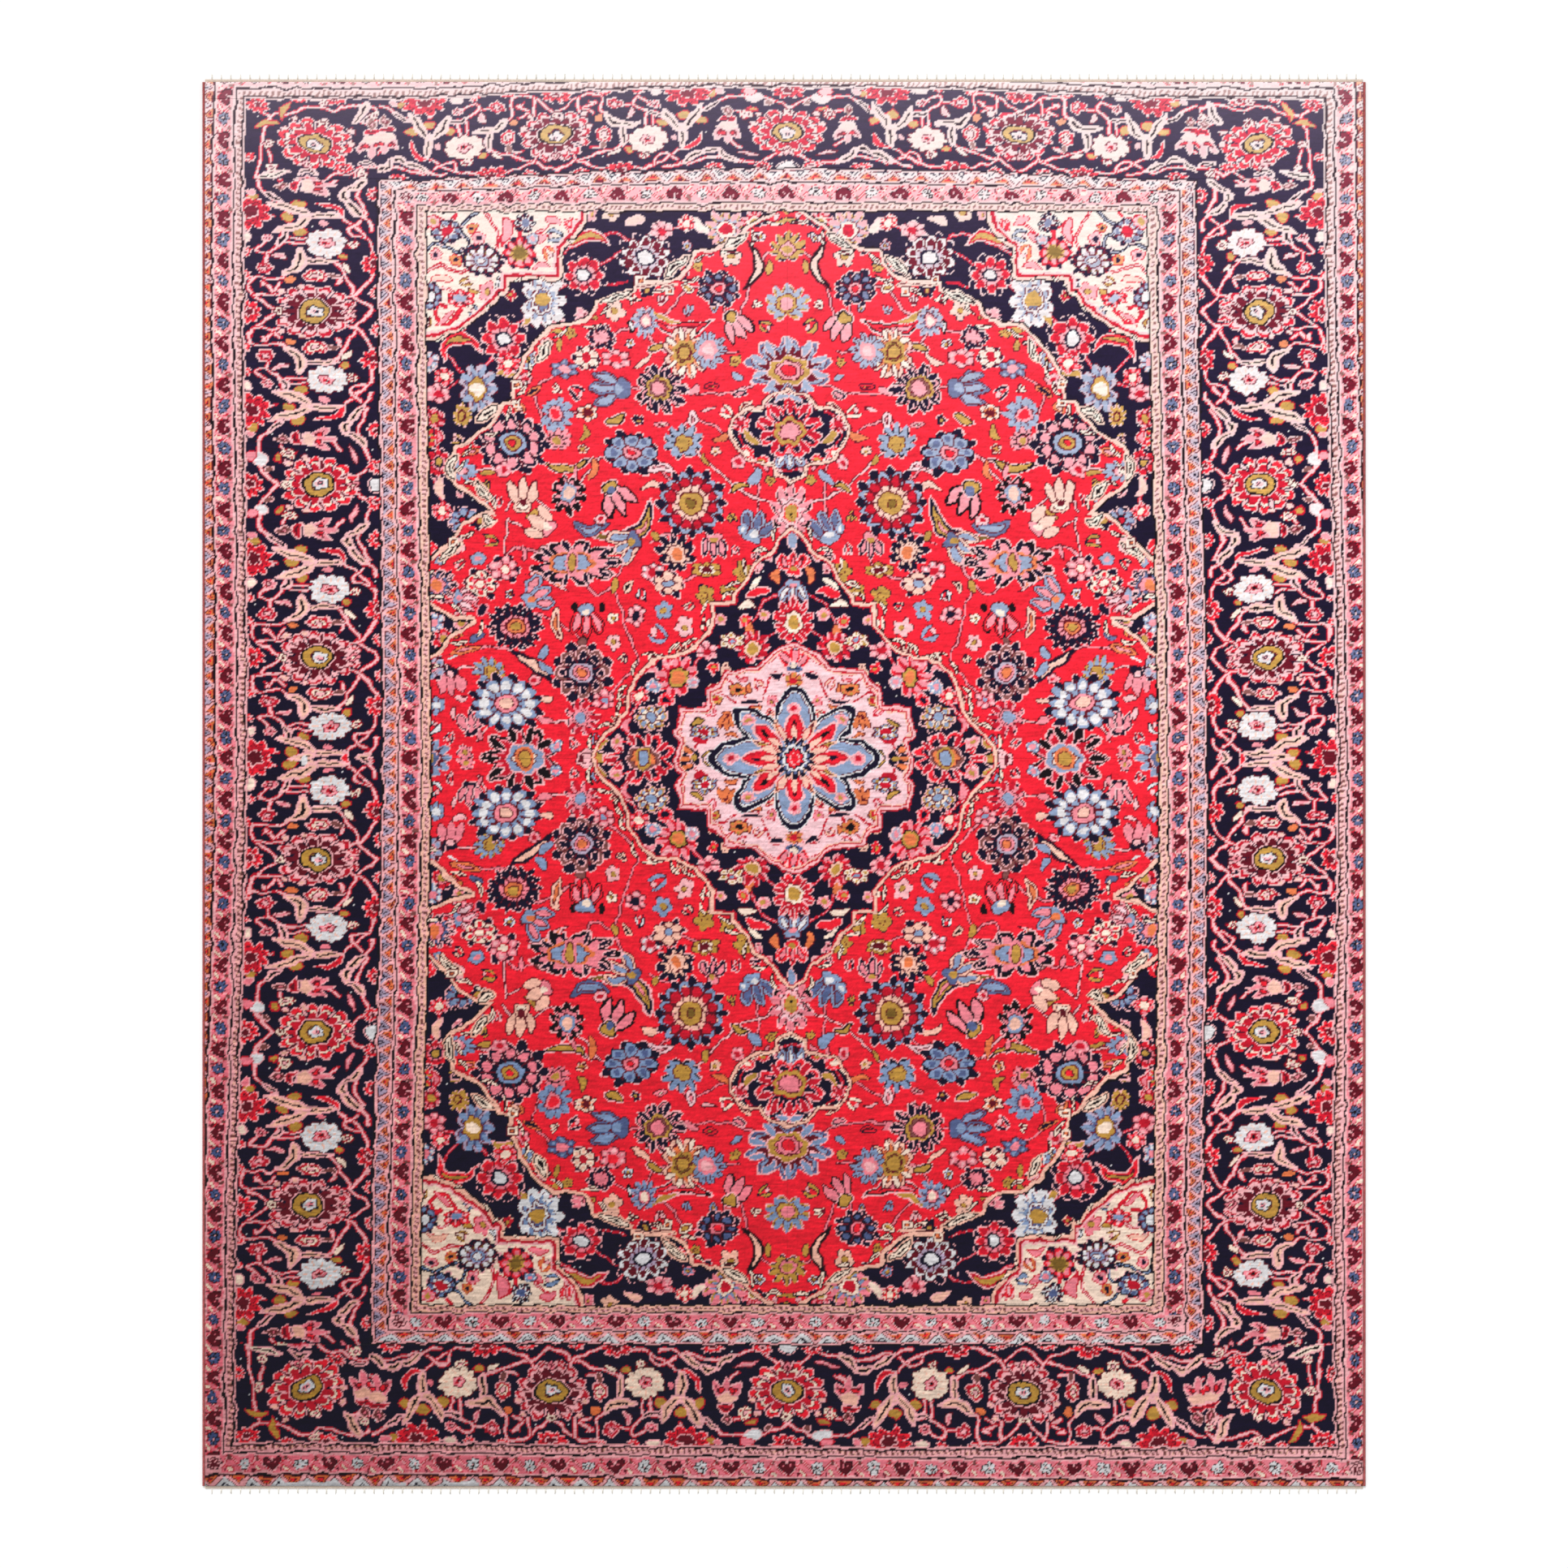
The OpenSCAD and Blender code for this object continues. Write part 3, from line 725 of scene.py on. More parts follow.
CORNER_ROSETTES = [
    (690, 963, 28, 17, 6, 0, "crimson 2 red 5 pink", "rose", "blue"),
    (755, 968, 22, 26, 8, 0, "maroon 2 slate 5 navy", "blue", "white"),
    (645, 1043, 40, 30, 10, 0, "maroon 2 navy 5 olive 4 lilac", "white", "maroon 2 blue 4 white"),
    (565, 1060, 32, 30, 8, 0, "crimson 3 red 5 gold", "pink", "olive"),
    (538, 1088, 14, 12, 5, 0, "maroon 2 blue", "white", "pink"),
    (553, 1122, 22, 20, 8, 0, "navy 3 white", "navy", "slate"),
    (700, 1045, 14, 12, 5, 0, "crimson 2 orange", "gold", "navy"),
    (742, 1056, 14, 12, 5, 0, "crimson 2 pink", "rose", "navy"),
    (652, 1090, 14, 14, 5, 0, "crimson 2 pink", "rose", "navy"),
    (720, 1105, 30, 24, 8, 0, "navy 3 blue 5 white", "slate", "crimson"),
    (748, 1125, 16, 14, 6, 0, "crimson 2 pink", "rose", "gold"),
    (665, 1112, 12, 12, 5, 0, "crimson 2 orange", "gold", "navy"),
]

MEDALLION_VINES = [
    (
        [(0, 350), (60, 330), (95, 270), (130, 245), (180, 225), (240, 170), (300, 150), (340, 95)],
        6,
        "crimson 2 pink",
    ),
    ([(340, 95), (365, 70), (350, 50), (325, 0)], 6, "crimson 2 rose"),
    ([(100, 220), (60, 250), (0, 290)], 6, "crimson 2 pink"),
]
MEDALLION_LEAVES = [
    ([(385, 0), (410, 4), (442, 0)], 22, "rose 2 black 4 gold"),
    ([(392, 40), (410, 25), (426, 18)], 16, "rose 2 gold"),
    ([(340, 85), (356, 72), (350, 52)], 16, "crimson 2 pink"),
    ([(88, 285), (92, 268), (88, 250)], 20, "maroon 2 orange"),
    ([(45, 352), (72, 350), (100, 338)], 22, "rose 2 red"),
    ([(60, 378), (78, 370), (92, 356)], 12, "ivory"),
    ([(76, 318), (96, 324), (116, 316)], 18, "maroon 2 ivory"),
    ([(26, 400), (38, 384), (34, 366)], 18, "maroon 2 orange"),
    ([(20, 430), (28, 412), (24, 398)], 16, "rose 2 red"),
    ([(0, 480), (2, 458), (0, 440)], 16, "rose 2 blue"),
    ([(285, 178), (300, 190), (318, 180)], 14, "rose 2 pink"),
    ([(205, 262), (200, 248), (210, 236)], 16, "rose 2 gold"),
]
MEDALLION_TULIPS = [
    (330, 208, 26, 26, -40, "rose 2 red", "rose 2 red 4 pink", "ivory"),
    (0, 352, 28, 26, 180, "maroon 2 blue", "maroon 2 blue 4 white", "pink"),
    (0, 405, 26, 26, 0, "rose 2 red", "rose 2 red 4 pink", "gold"),
]
MEDALLION_PALMETTES = [
    (
        *(325, 0, 50, 70, -90),
        "rose 3 red 6 pink 3 navy",
        "rose 2 crimson",
        "rose 2 brown 5 orange",
        "gold 4 blue",
    ),
    (0, 290, 40, 46, 0, "rose 3 red 6 crimson", "rose 2 crimson", "maroon 2 ivory 7 crimson", "gold"),
    (246, 172, 42, 38, -45, "rose 3 red 5 crimson", "pink", "black 3 gold", "orange"),
    (88, 235, 34, 30, -20, "rose 3 pink 5 red", "crimson", "maroon 2 peach", "gold"),
]
MEDALLION_ROSETTES = [
    (300, 85, 32, 24, 8, 0, "rose 2 gold 4 ivory", "blue", "maroon 2 blue"),
    (325, 130, 22, 18, 6, 0, "rose 2 red", "pink", "ivory"),
    (297, 150, 16, 14, 5, 0, "rose 2 blue", "white", "pink"),
    (182, 225, 22, 17, 6, 0, "rose 2 pink", "rose", "crimson"),
    (130, 247, 27, 17, 6, 0, "maroon 2 ivory", "gold", "crimson 3 blue"),
    (213, 158, 14, 13, 5, 0, "rose 2 lilac", "white", "pink"),
    (104, 288, 14, 13, 5, 0, "rose 2 red", "pink", "gold"),
    (270, 120, 16, 15, 6, 0, "rose 2 red", "pink", "navy"),
    (372, 35, 14, 13, 5, 0, "rose 2 pink", "rose", "gold"),
    (50, 425, 10, 10, 5, 0, "rose 2 pink", "rose", "gold"),
    (395, 78, 10, 10, 5, 0, "rose 2 pink", "rose", "gold"),
    (62, 300, 13, 12, 5, 0, "rose 2 pink", "rose", "gold"),
    (265, 205, 12, 11, 5, 0, "rose 2 pink", "rose", "crimson"),
    (155, 290, 12, 11, 5, 0, "rose 2 pink", "rose", "gold"),
]


def draw_field():
    """One quarter of the field, from its middle outwards, with all that lies on it"""
    c = Cartoon(HALF_W, HALF_L, "red")
    draw(c, FIELD_ROSETTES, FIELD_PALMETTES, FIELD_TULIPS, FIELD_BUDS, FIELD_LEAVES, FIELD_VINES)
    fill_gaps(c, np.ones(c.dyes.shape, bool), "red", FIELD_FILLERS)
    lobes = [past_the_frame(loop) for loop in outlines("spandrel_far_right") + outlines("corner_far_right")]
    for lobe in lobes:
        edge_leaves(c, lobe, 58, 18, "black 1.8 ivory 2 peach")
        c.patch(lobe, "crimson 2 peach 7 black 3 navy")
    ground = Cartoon(HALF_W, HALF_L, "red")
    for lobe in lobes:
        ground.patch(lobe, "red 12 navy")
    spandrel = Cartoon(HALF_W, HALF_L, "navy")
    draw(spandrel, SPANDREL_ROSETTES, SPANDREL_PALMETTES, (), (), SPANDREL_LEAVES, SPANDREL_VINES)
    inside = ground.dyes == DYE_NUMBER["navy"]
    fill_gaps(spandrel, inside, "navy", NAVY_FILLERS, SPANDREL_ROOM)
    c.dyes[inside] = spandrel.dyes[inside]
    draw_corner_piece(c)
    draw_edge_scrolls(c)
    draw_medallion(c)
    draw_pendant(c)
    return c


def draw_within(c, outline, rim, ground, fillers, **rows):
    """A bordered shape with its own ground, and flowers that stop at its border"""
    c.patch(outline, rim)
    stencil = Cartoon(HALF_W, HALF_L, "red")
    stencil.patch(outline, f"red {sum(width for _, width in rings_of(rim)[:-1])} navy")
    inner = Cartoon(HALF_W, HALF_L, ground)
    draw(inner, **rows)
    inside = stencil.dyes == DYE_NUMBER["navy"]
    if fillers:
        fill_gaps(inner, inside, ground, fillers, NAVY_ROOM if ground == "navy" else PALE_ROOM)
    c.dyes[inside] = inner.dyes[inside]


def draw_corner_piece(c):
    """The pale piece that fills the field's corner, past the spandrel"""
    draw_within(
        c,
        past_the_frame(outlines("corner_far_right")[0]),
        "crimson 4 rose 4 ivory",
        "ivory",
        IVORY_FILLERS,
        rosettes=CORNER_ROSETTES,
        leaves=CORNER_LEAVES,
        vines=CORNER_VINES,
    )


EDGE_SCROLLS = [
    [(664, 585), (650, 560), (634, 540)],
    [(616, 500), (636, 496), (652, 512)],
    [(664, 700), (640, 722), (612, 738)],
    [(532, 828), (518, 848), (505, 880)],
    [(400, 954), (362, 966), (326, 982)],
    [(262, 1004), (240, 1030), (205, 1054)],
    [(140, 1066), (112, 1084), (80, 1100)],
    [(700, 640), (716, 612), (708, 580)],
    [(745, 410), (716, 438), (690, 452)],
]


def draw_edge_scrolls(c):
    """The long leaves and the small squares along the field's lobed edge"""
    for spine in EDGE_SCROLLS:
        c.leaf(spine, 24, "peach 3 black 2.5 ivory 4 black")
    for x, y in ((712, 452), (575, 745), (575, 785), (312, 1003), (250, 978)):
        square = [(x - 11, y - 10), (x + 11, y - 10), (x + 11, y + 10), (x - 11, y + 10)]
        c.patch(square, "maroon 2 ivory 4 orange")
    c.vine([(320, 992), (240, 992)], 8, "peach 3 orange")


def draw_medallion(c):
    """The dark medallion in the field's middle, with the pale panel and the star on it"""
    edge_leaves(c, outlines("medallion")[0], 46, 17, "black 1.8 ivory 2 peach")
    draw_within(
        c,
        outlines("medallion")[0],
        "maroon 2 peach 6 crimson 3 navy",
        "navy",
        NAVY_FILLERS,
        rosettes=MEDALLION_ROSETTES,
        palmettes=MEDALLION_PALMETTES,
        tulips=MEDALLION_TULIPS,
        leaves=MEDALLION_LEAVES,
        vines=MEDALLION_VINES,
    )
    draw_within(
        c,
        outlines("medallion_panel")[0],
        "crimson 3 rose 5 crimson 3 peach 2.5 blush",
        "blush",
        BLUSH_FILLERS,
        rosettes=PANEL_ROSETTES,
        tulips=PANEL_TULIPS,
        leaves=PANEL_LEAVES,
        vines=PANEL_VINES,
    )
    draw_star(c)


PANEL_VINES = [
    ([(0, 165), (45, 176), (80, 110), (115, 145), (150, 172)], 5, "crimson 2 rose"),
    ([(178, 60), (205, 30), (215, 0)], 5, "crimson 2 rose"),
    ([(125, 118), (150, 135), (175, 140)], 5, "crimson 2 rose"),
]
PANEL_LEAVES = [
    ([(20, 182), (36, 170), (52, 176)], 15, "rose 2 navy"),
    ([(188, 90), (206, 76), (222, 70)], 18, "rose 2 black 3 gold"),
    ([(180, 45), (196, 34), (212, 40)], 16, "crimson"),
    ([(68, 112), (80, 104), (92, 108)], 14, "maroon 2 orange"),
    ([(95, 160), (96, 150), (90, 140)], 12, "maroon 2 orange"),
    ([(232, 84), (240, 70), (238, 54)], 12, "crimson 2 rose"),
    ([(30, 215), (48, 206), (66, 196)], 10, "crimson 2 rose"),
    ([(150, 150), (164, 142), (172, 128)], 10, "crimson 2 rose"),
    ([(60, 125), (100, 118), (120, 122)], 12, "rose 2 navy"),
]
PANEL_TULIPS = [
    (0, 205, 32, 26, 0, "rose 2 slate 4 navy", "rose 2 red 4 pink", "ivory"),
    (222, 0, 28, 26, -90, "rose 2 navy", "rose 2 navy 5 orange", "gold"),
]
PANEL_ROSETTES = [
    (0, 165, 20, 16, 6, 0, "rose 2 orange", "gold", "crimson"),
    (190, 55, 28, 16, 6, 0, "maroon 2 blue 3 white", "gold", "crimson"),
    (118, 144, 20, 14, 6, 0, "maroon 2 orange", "gold", "black"),
    (0, 236, 12, 10, 6, 0, "maroon 2 lilac", "blue", "navy"),
    (165, 120, 12, 10, 5, 0, "maroon 2 gold", "orange", "crimson"),
]


# The star from its middle outwards: its broad petals, then what lies in each of them. A petal's pale
# part is narrower than its dark rim by PETAL_RIM, and stops short of its tip
PETAL_RIM = 15
STAR_PETALS = (
    ([(0, 16), (0, 82), (0, 146)], 88),
    ([(22, 18), (76, 62), (124, 104)], 70),
    ([(16, 0), (98, 0), (178, 0)], 92),
)
STAR_POINTS = (
    ([(26, 20), (56, 44), (86, 70)], 38, "rose 4 crimson 3 red 7 black"),
    ([(0, 28), (0, 58), (0, 92)], 42, "rose 4 crimson 3 red 7 black"),
    ([(30, 0), (68, 0), (112, 0)], 36, "rose 4 crimson 3 red 7 navy"),
    ([(16, 30), (34, 62), (42, 76)], 16, "peach 3 orange"),
    ([(30, 12), (68, 28), (88, 36)], 16, "peach 3 gold"),
)
STAR_HEADS = (
    (0, 106, 15, 13, 5, 0, "rose 2 pink", "rose", "crimson"),
    (98, 82, 14, 12, 5, 0, "rose 2 pink", "rose", "gold"),
    (132, 0, 17, 14, 5, 0, "rose 2 pink", "rose", "crimson"),
)


def draw_star(c):
    """The pale blue star: a red leaf and a pink head in each petal, and a toothed ring about a red eye"""
    for line, width in STAR_PETALS:
        c.leaf(line, width, "white 2 navy")
    for line, width in STAR_PETALS:
        foot, (middle_x, middle_y), (tip_x, tip_y) = line
        pale = [foot, (0.96 * middle_x, 0.96 * middle_y), (0.91 * tip_x, 0.91 * tip_y)]
        c.leaf(pale, width - PETAL_RIM, "white 2.4 blue")
    c.flower(0, 0, 84, 72, "blue", 8)
    for line, width, rings in STAR_POINTS:
        c.leaf(line, width, rings)
    for head in STAR_HEADS:
        rosette(c, *head)
    for turn in (0, -26, -52, -71, -90):
        c.leaf([turned(0, 0, 0, ahead, turn) for ahead in (36, 54, 72)], 17, "crimson 2.4 peach")
    c.flower(0, 0, 46, 46, "peach 3 navy 10 slate", 14, 0, 0.3)
    c.flower(0, 0, 28, 28, "white 5 navy 4 red", 10, 0, 0.15)
    c.flower(0, 0, 12, 12, "rose 2 red", 6)


def draw_pendant(c):
    """The small dark shape past each tip of the medallion"""
    draw_within(
        c,
        outlines("pendant_far")[0],
        "maroon 2 peach 5 ivory 3 navy",
        "navy",
        NAVY_FILLERS,
        rosettes=[
            (92, 640, 18, 15, 6, 0, "rose 2 red", "pink", "ivory"),
            (102, 700, 18, 16, 6, 0, "rose 2 red 4 pink", "rose", "crimson"),
            (55, 748, 14, 12, 5, 0, "rose 2 pink", "rose", "gold"),
            (58, 624, 14, 12, 5, 0, "rose 2 red", "pink", "gold"),
        ],
        palmettes=[
            (
                *(0, 692, 66, 58, 0),
                "rose 3 red 8 pink 4 navy",
                "rose 2 crimson",
                "crimson 2 gold 8 pink",
                "maroon 2 pink",
            ),
        ],
        tulips=[(0, 634, 26, 26, 180, "maroon 2 white", "maroon 2 blue 4 white", "pink")],
        leaves=[
            ([(66, 660), (84, 672), (94, 690)], 18, "rose 2 gold"),
            ([(30, 745), (14, 757), (0, 760)], 14, "rose 2 blue"),
            ([(20, 600), (30, 612), (28, 628)], 14, "rose 2 pink"),
        ],
        vines=[([(0, 600), (60, 620), (100, 660), (102, 700), (55, 748), (0, 765)], 5, "crimson 2 pink")],
    )


def draw_plan():
    """The same quarter with each area in one dye, to tell which piece of pile a knot belongs to"""
    plan = Cartoon(HALF_W, HALF_L, "red")
    for node, dye in (
        ("medallion", "navy"),
        ("medallion_panel", "blush"),
        ("medallion_star", "blue"),
        ("pendant_far", "slate"),
        ("spandrel_far_right", "black"),
        ("corner_far_right", "ivory"),
    ):
        loops = outlines(node)
        for loop in loops if node.startswith("spandrel") else loops[:1]:
            plan.patch(past_the_frame(loop), dye)
    return plan


# ---------------------------------------------------------------- the borders

# Half a repeat of the main border, and the width of its corner block, in the drawing's own millimetres
REPEAT_W, REPEAT_L = 288, 126
BLOCK_W = 160
BORDER_SQUARE, GUARD_SQUARE = 0.6, 0.5


def framed_leaf(c, spine, width, fill="peach"):
    """A tan leaf with a pale rim, a dark line inside it and a dark vein"""
    c.leaf(spine, width, f"rose 2.4 {fill}", 0.35)
    start, middle, end = (np.array(point, float) for point in spine)
    c.leaf([start + 0.35 * (middle - start), middle, end + 0.35 * (middle - end)], 2.4, "black", 1)


BORDER_VINES = (
    [(0, 3), (12, 10), (24, 20), (36, 21), (54, 29), (74, 35), (82, 41)],
    [(60, 4), (30, 17), (22, 31), (14, 39)],
    [(62, 87), (55, 95), (55, 119), (32, 120), (6, 99), (0, 95)],
    [(28, 93), (28, 116)],
    [(34, 98), (46, 92)],
    [(34, 100), (48, 107)],
    [(82, 105), (96, 105)],
    [(132, 90), (112, 93), (98, 104), (100, 115), (110, 111), (116, 106)],
    [(88, 5), (106, 5), (122, 9), (138, 19), (152, 30)],
    [(122, 9), (126, 23), (136, 25), (150, 16)],
    [(134, 5), (148, 6), (160, 15), (174, 23), (186, 29)],
    [(164, 9), (178, 14), (196, 19), (214, 16), (244, 9)],
    [(262, 13), (277, 24), (288, 26)],
    [(230, 35), (222, 40), (214, 46)],
    [(111, 68), (112, 88)],
    [(120, 68), (121, 86)],
    [(182, 92), (190, 98), (202, 106), (214, 113), (234, 113)],
    [(258, 113), (272, 107), (288, 96)],
    [(157, 99), (158, 106)],
    [(236, 88), (224, 92)],
)
BORDER_LEAVES = (
    ([(84, 38), (84, 54), (83, 70)], 11),
    ([(62, 89), (76, 74), (101, 74)], 14),
    ([(134, 87), (122, 88), (111, 94)], 8),
    ([(158, 34), (159, 52), (157, 70)], 13),
    ([(156, 62), (143, 76), (134, 96)], 15),
    ([(160, 62), (170, 80), (181, 101)], 14),
    ([(184, 90), (192, 98), (203, 106)], 8),
    ([(158, 11), (170, 21), (184, 27)], 11),
    ([(184, 25), (191, 31), (201, 30)], 11),
    ([(203, 32), (210, 20), (224, 12)], 11),
)
BORDER_PETALS = (
    ([(154, 31), (170, 36), (177, 46), (181, 60)], 9, "rose 1.2 red 1.8 crimson"),
    ([(222, 27), (238, 24), (254, 20)], 7, "maroon 1 pink 1.5 rose"),
    ([(64, 24), (71, 28), (80, 33)], 8, "maroon 1 ivory"),
    ([(86, 84), (92, 90), (94, 100)], 9, "maroon 1 rose 1.5 pink"),
    ([(40, 112), (44, 108), (50, 110)], 6, "crimson 1 rose"),
    ([(40, 40), (47, 36), (56, 36)], 6, "crimson 1 rose"),
    ([(252, 92), (246, 95), (238, 96)], 9, "crimson 2 gold"),
    ([(20, 26), (12, 22), (8, 26)], 6, "rose 1 crimson"),
)
BORDER_SPOTS = (
    (132, 73, 8, 7, "crimson 1.2 gold"),
    (180, 75, 8, 7, "crimson 1.2 gold"),
    (158, 85, 9, 7, "crimson 1.2 gold"),
    (91, 32, 7, 5, "crimson 1.2 gold"),
    (53, 83, 5, 5, "orange"),
    (147, 50, 4, 5, "pink"),
    (194, 119, 7, 6, "crimson 1.2 gold"),
    (264, 104, 6, 5, "rose 1.2 brown"),
    (124, 123, 9, 5, "rose 1.2 ivory"),
    (204, 121, 6, 5, "rose 1.2 pink"),
    (246, 112, 12, 8, "rose 1.2 white"),
    (240, 121, 9, 6, "crimson 1 pink"),
)


def draw_border(pale):
    """Half a repeat of the main border, from one palmette's middle to the next, inner edge first"""
    c = Cartoon(REPEAT_W, REPEAT_L, "navy", BORDER_SQUARE)
    for way in BORDER_VINES:
        c.vine(way, 5.2, "crimson 1.2 rose")
    for x, y, half_w, half_l, rings in BORDER_SPOTS:
        c.flower(x, y, half_w, half_l, rings)
    for spine, width, rings in BORDER_PETALS:
        c.leaf(spine, width, rings)
    for spine, width in BORDER_LEAVES:
        framed_leaf(c, spine, width)
    draw_border_flowers(c, pale)
    return c


def edge_flower(c, x, y, half_w, half_l):
    """A red flower of which the border's edge hides one half"""
    c.flower(x, y, half_w, half_l, "rose 1.4 red 3.5 maroon 1.2 crimson", 9, 0, 0.36)
    c.flower(x, y, 0.4 * half_w, 0.4 * half_l, "rose 1.2 maroon", 5)


def draw_border_flowers(c, pale):
    """The border's flowers over its vines: those at its edges first, and the palmettes last"""
    for x, y, half_w, half_l in (
        (0, 122, 20, 13),
        (80, 3, 21, 13),
        (196, 2, 15, 9),
        (258, 3, 13, 9),
        (164, 120, 30, 20),
        (288, 122, 22, 13),
        (60, 126, 10, 7),
        (100, 126, 9, 7),
        (30, 0, 12, 7),
    ):
        edge_flower(c, x, y, half_w, half_l)
    c.flower(288, 0, 14, 11, "rose 1.2 navy 1.2 white")
    for x, y, half_w, half_l, rings in (
        (73, 107, 11, 10, "rose 1.3 crimson 3 pink"),
        (122, 105, 8, 7, "rose 1.3 pink"),
        (59, 58, 11, 14, "rose 1.3 crimson 2.5 ivory"),
        (236, 85, 9, 9, "maroon 1 ivory"),
        (110, 24, 8, 7, "maroon 1 ivory"),
    ):
        rosette(c, x, y, half_w, half_l, 6, 0, rings, "crimson", "maroon 1.2 rose")
    c.leaf([(59, 48), (58, 42), (57, 35)], 9, "rose 1.2 brown")
    c.flower(114, 48, 26, 21, f"maroon 1.2 {pale}", 11, 0, 0.16)
    for petal in range(11):
        foot = petal_place(114, 48, 13, 11, 1, petal, 11)
        tip = petal_place(114, 48, 20, 16, 1, petal, 11)
        c.vine([foot, tip], 1.3, "peach")
    c.flower(114, 48, 10, 9, "maroon 1.2 pink 2 rose 1.5 crimson", 5, 20)
    c.flower(114, 48, 2, 2, "black")
    side_flower(c, 213, 66)
    draw_border_palmette(c, 0, 60, 45, 40, 0, "crimson 4 rose 5 maroon")
    draw_border_palmette(c, 288, 57, 48, 38, 0, "red 5 ivory 4 crimson")


def side_flower(c, x, y):
    """The tall flower between two palmettes: pink petals, a tan heart, dark leaves and a bud"""
    c.leaf([(x - 17, y - 20), (x - 8, y - 8), (x, y - 2)], 13, "rose 1.4 pink 3 red")
    c.leaf([(x + 17, y - 20), (x + 8, y - 8), (x, y - 2)], 13, "rose 1.4 pink 3 red")
    c.leaf([(x, y - 28), (x, y - 18), (x, y - 6)], 11, "rose 1.4 pink")
    for side in (-1, 1):
        c.flower(x + 6 * side, y - 10, 4, 4, "maroon 1.4 red")
    c.patch([(x - 13, y - 1), (x, y - 8), (x + 14, y - 2), (x + 8, y + 8), (x - 8, y + 8)], "rose 1.4 peach")
    c.leaf([(x - 14, y + 10), (x, y + 14), (x + 10, y + 8)], 10, "rose 1.4 crimson 2 maroon")
    c.flower(x, y + 25, 7, 9, "rose 1.4 brown 2 pink", 4)


def draw_border_palmette(c, x, y, half_w, half_l, turn, petals):
    """The border's large flower: a ragged ring of petals and a gold oval with a pale bloom in it"""
    c.flower(x, y, half_w, half_l, f"rose 1.6 {petals}", 13, turn, 0.2)
    for petal in range(13):
        spine = [petal_place(x, y, half_w, half_l, share, petal + 0.5, 13, turn) for share in (0.5, 0.7, 0.9)]
        c.leaf(spine, 5.4, "rose 1.3 maroon" if petal % 2 else "navy 1.2 rose")
    for side in (-1, 1):
        for ahead in (0.3, 0.75):
            spot = turned(x, y, side * (0.98 - 0.3 * ahead) * half_w, ahead * half_l, turn)
            c.flower(*spot, 6, 5, "maroon 1 rose 1.6 peach", 5)
    c.flower(x, y, 23, 17, "rose 1.2 black 2.2 gold 6 olive", 0, turn)
    c.flower(*turned(x, y, 0, -2, turn), 11, 9, "navy 1.4 white 3 rose", 5, turn)
    c.flower(*turned(x, y, 0, -3, turn), 3, 2.4, "navy 1.2 pink", 0, turn)
    for side in (-1, 1):
        petal = turned(x, y, 6 * side, -0.9 * half_l, turn)
        foot = turned(*petal, 5 * side, -5, turn)
        tip = turned(*petal, -5 * side, 6, turn)
        c.leaf([foot, petal, tip], 7, "maroon 1 rose")
    c.flower(*turned(x, y, 0, -0.84 * half_l, turn), 6, 7, "maroon 1 pink 2 ivory", 4, turn)
    c.flower(*turned(x, y, 0, 0.85 * half_l, turn), 8, 5, "maroon 1 ivory 2 pink", 5, turn)


BLOCK_VINES = (
    [(148, 0), (143, 26), (141, 48), (137, 80)],
    [(132, 100), (107, 104), (79, 116), (58, 108), (38, 114), (13, 116), (0, 108)],
    [(26, 0), (24, 14), (10, 18), (0, 18)],
    [(24, 14), (34, 8), (50, 10), (60, 0)],
    [(137, 80), (134, 92), (132, 100), (146, 112)],
    [(0, 92), (10, 86), (22, 92)],
    [(128, 20), (129, 34), (132, 46)],
)
BLOCK_LEAVES = (
    ([(147, 2), (128, 6), (107, 13)], 12, "ivory"),
    ([(30, 88), (22, 100), (14, 118)], 13, "peach"),
    ([(2, 22), (12, 26), (22, 24)], 8, "ivory"),
    ([(0, 104), (8, 98), (16, 92)], 8, "peach"),
    ([(96, 8), (84, 14), (72, 10)], 9, "peach"),
)


def draw_border_corner():
    """The square where two main borders meet, from the field's corner outwards"""
    c = Cartoon(BLOCK_W, REPEAT_L, "navy", BORDER_SQUARE)
    for way in BLOCK_VINES:
        c.vine(way, 5.2, "crimson 1.2 rose")
    for spine, width, fill in BLOCK_LEAVES:
        framed_leaf(c, spine, width, fill)
    for spine in ([(150, 83), (138, 90), (122, 89)], [(118, 92), (116, 108), (106, 121)]):
        c.leaf(spine, 10, "crimson 1.4 gold")
    for x, y, half_w, half_l in (
        (146, 118, 16, 12),
        (53, 124, 16, 9),
        (41, 20, 14, 9),
        (156, 36, 9, 9),
        (96, 126, 12, 7),
    ):
        edge_flower(c, x, y, half_w, half_l)
    for x, y in ((132, 56), (18, 8), (128, 18), (66, 120), (4, 100)):
        rosette(c, x, y, 8, 7, 5, 0, "maroon 1 ivory", "pink", "maroon 1 rose")
    side_flower(c, 7, 62)
    c.flower(84, -2, 20, 9, "rose 1.4 pink 3 crimson", 9, 0, 0.3)
    draw_border_palmette(c, 76, 57, 48, 40, 18, "red 5 ivory 4 crimson")
    return c


FLOWER_BAND, TRIANGLE_BAND = 34.0, 24.0
TICKS_PITCH, TICKS_BAND = 12.0, 9
SIDE_PITCHES, END_PITCHES = (87.0, 33.7), (119.0, 57.0)


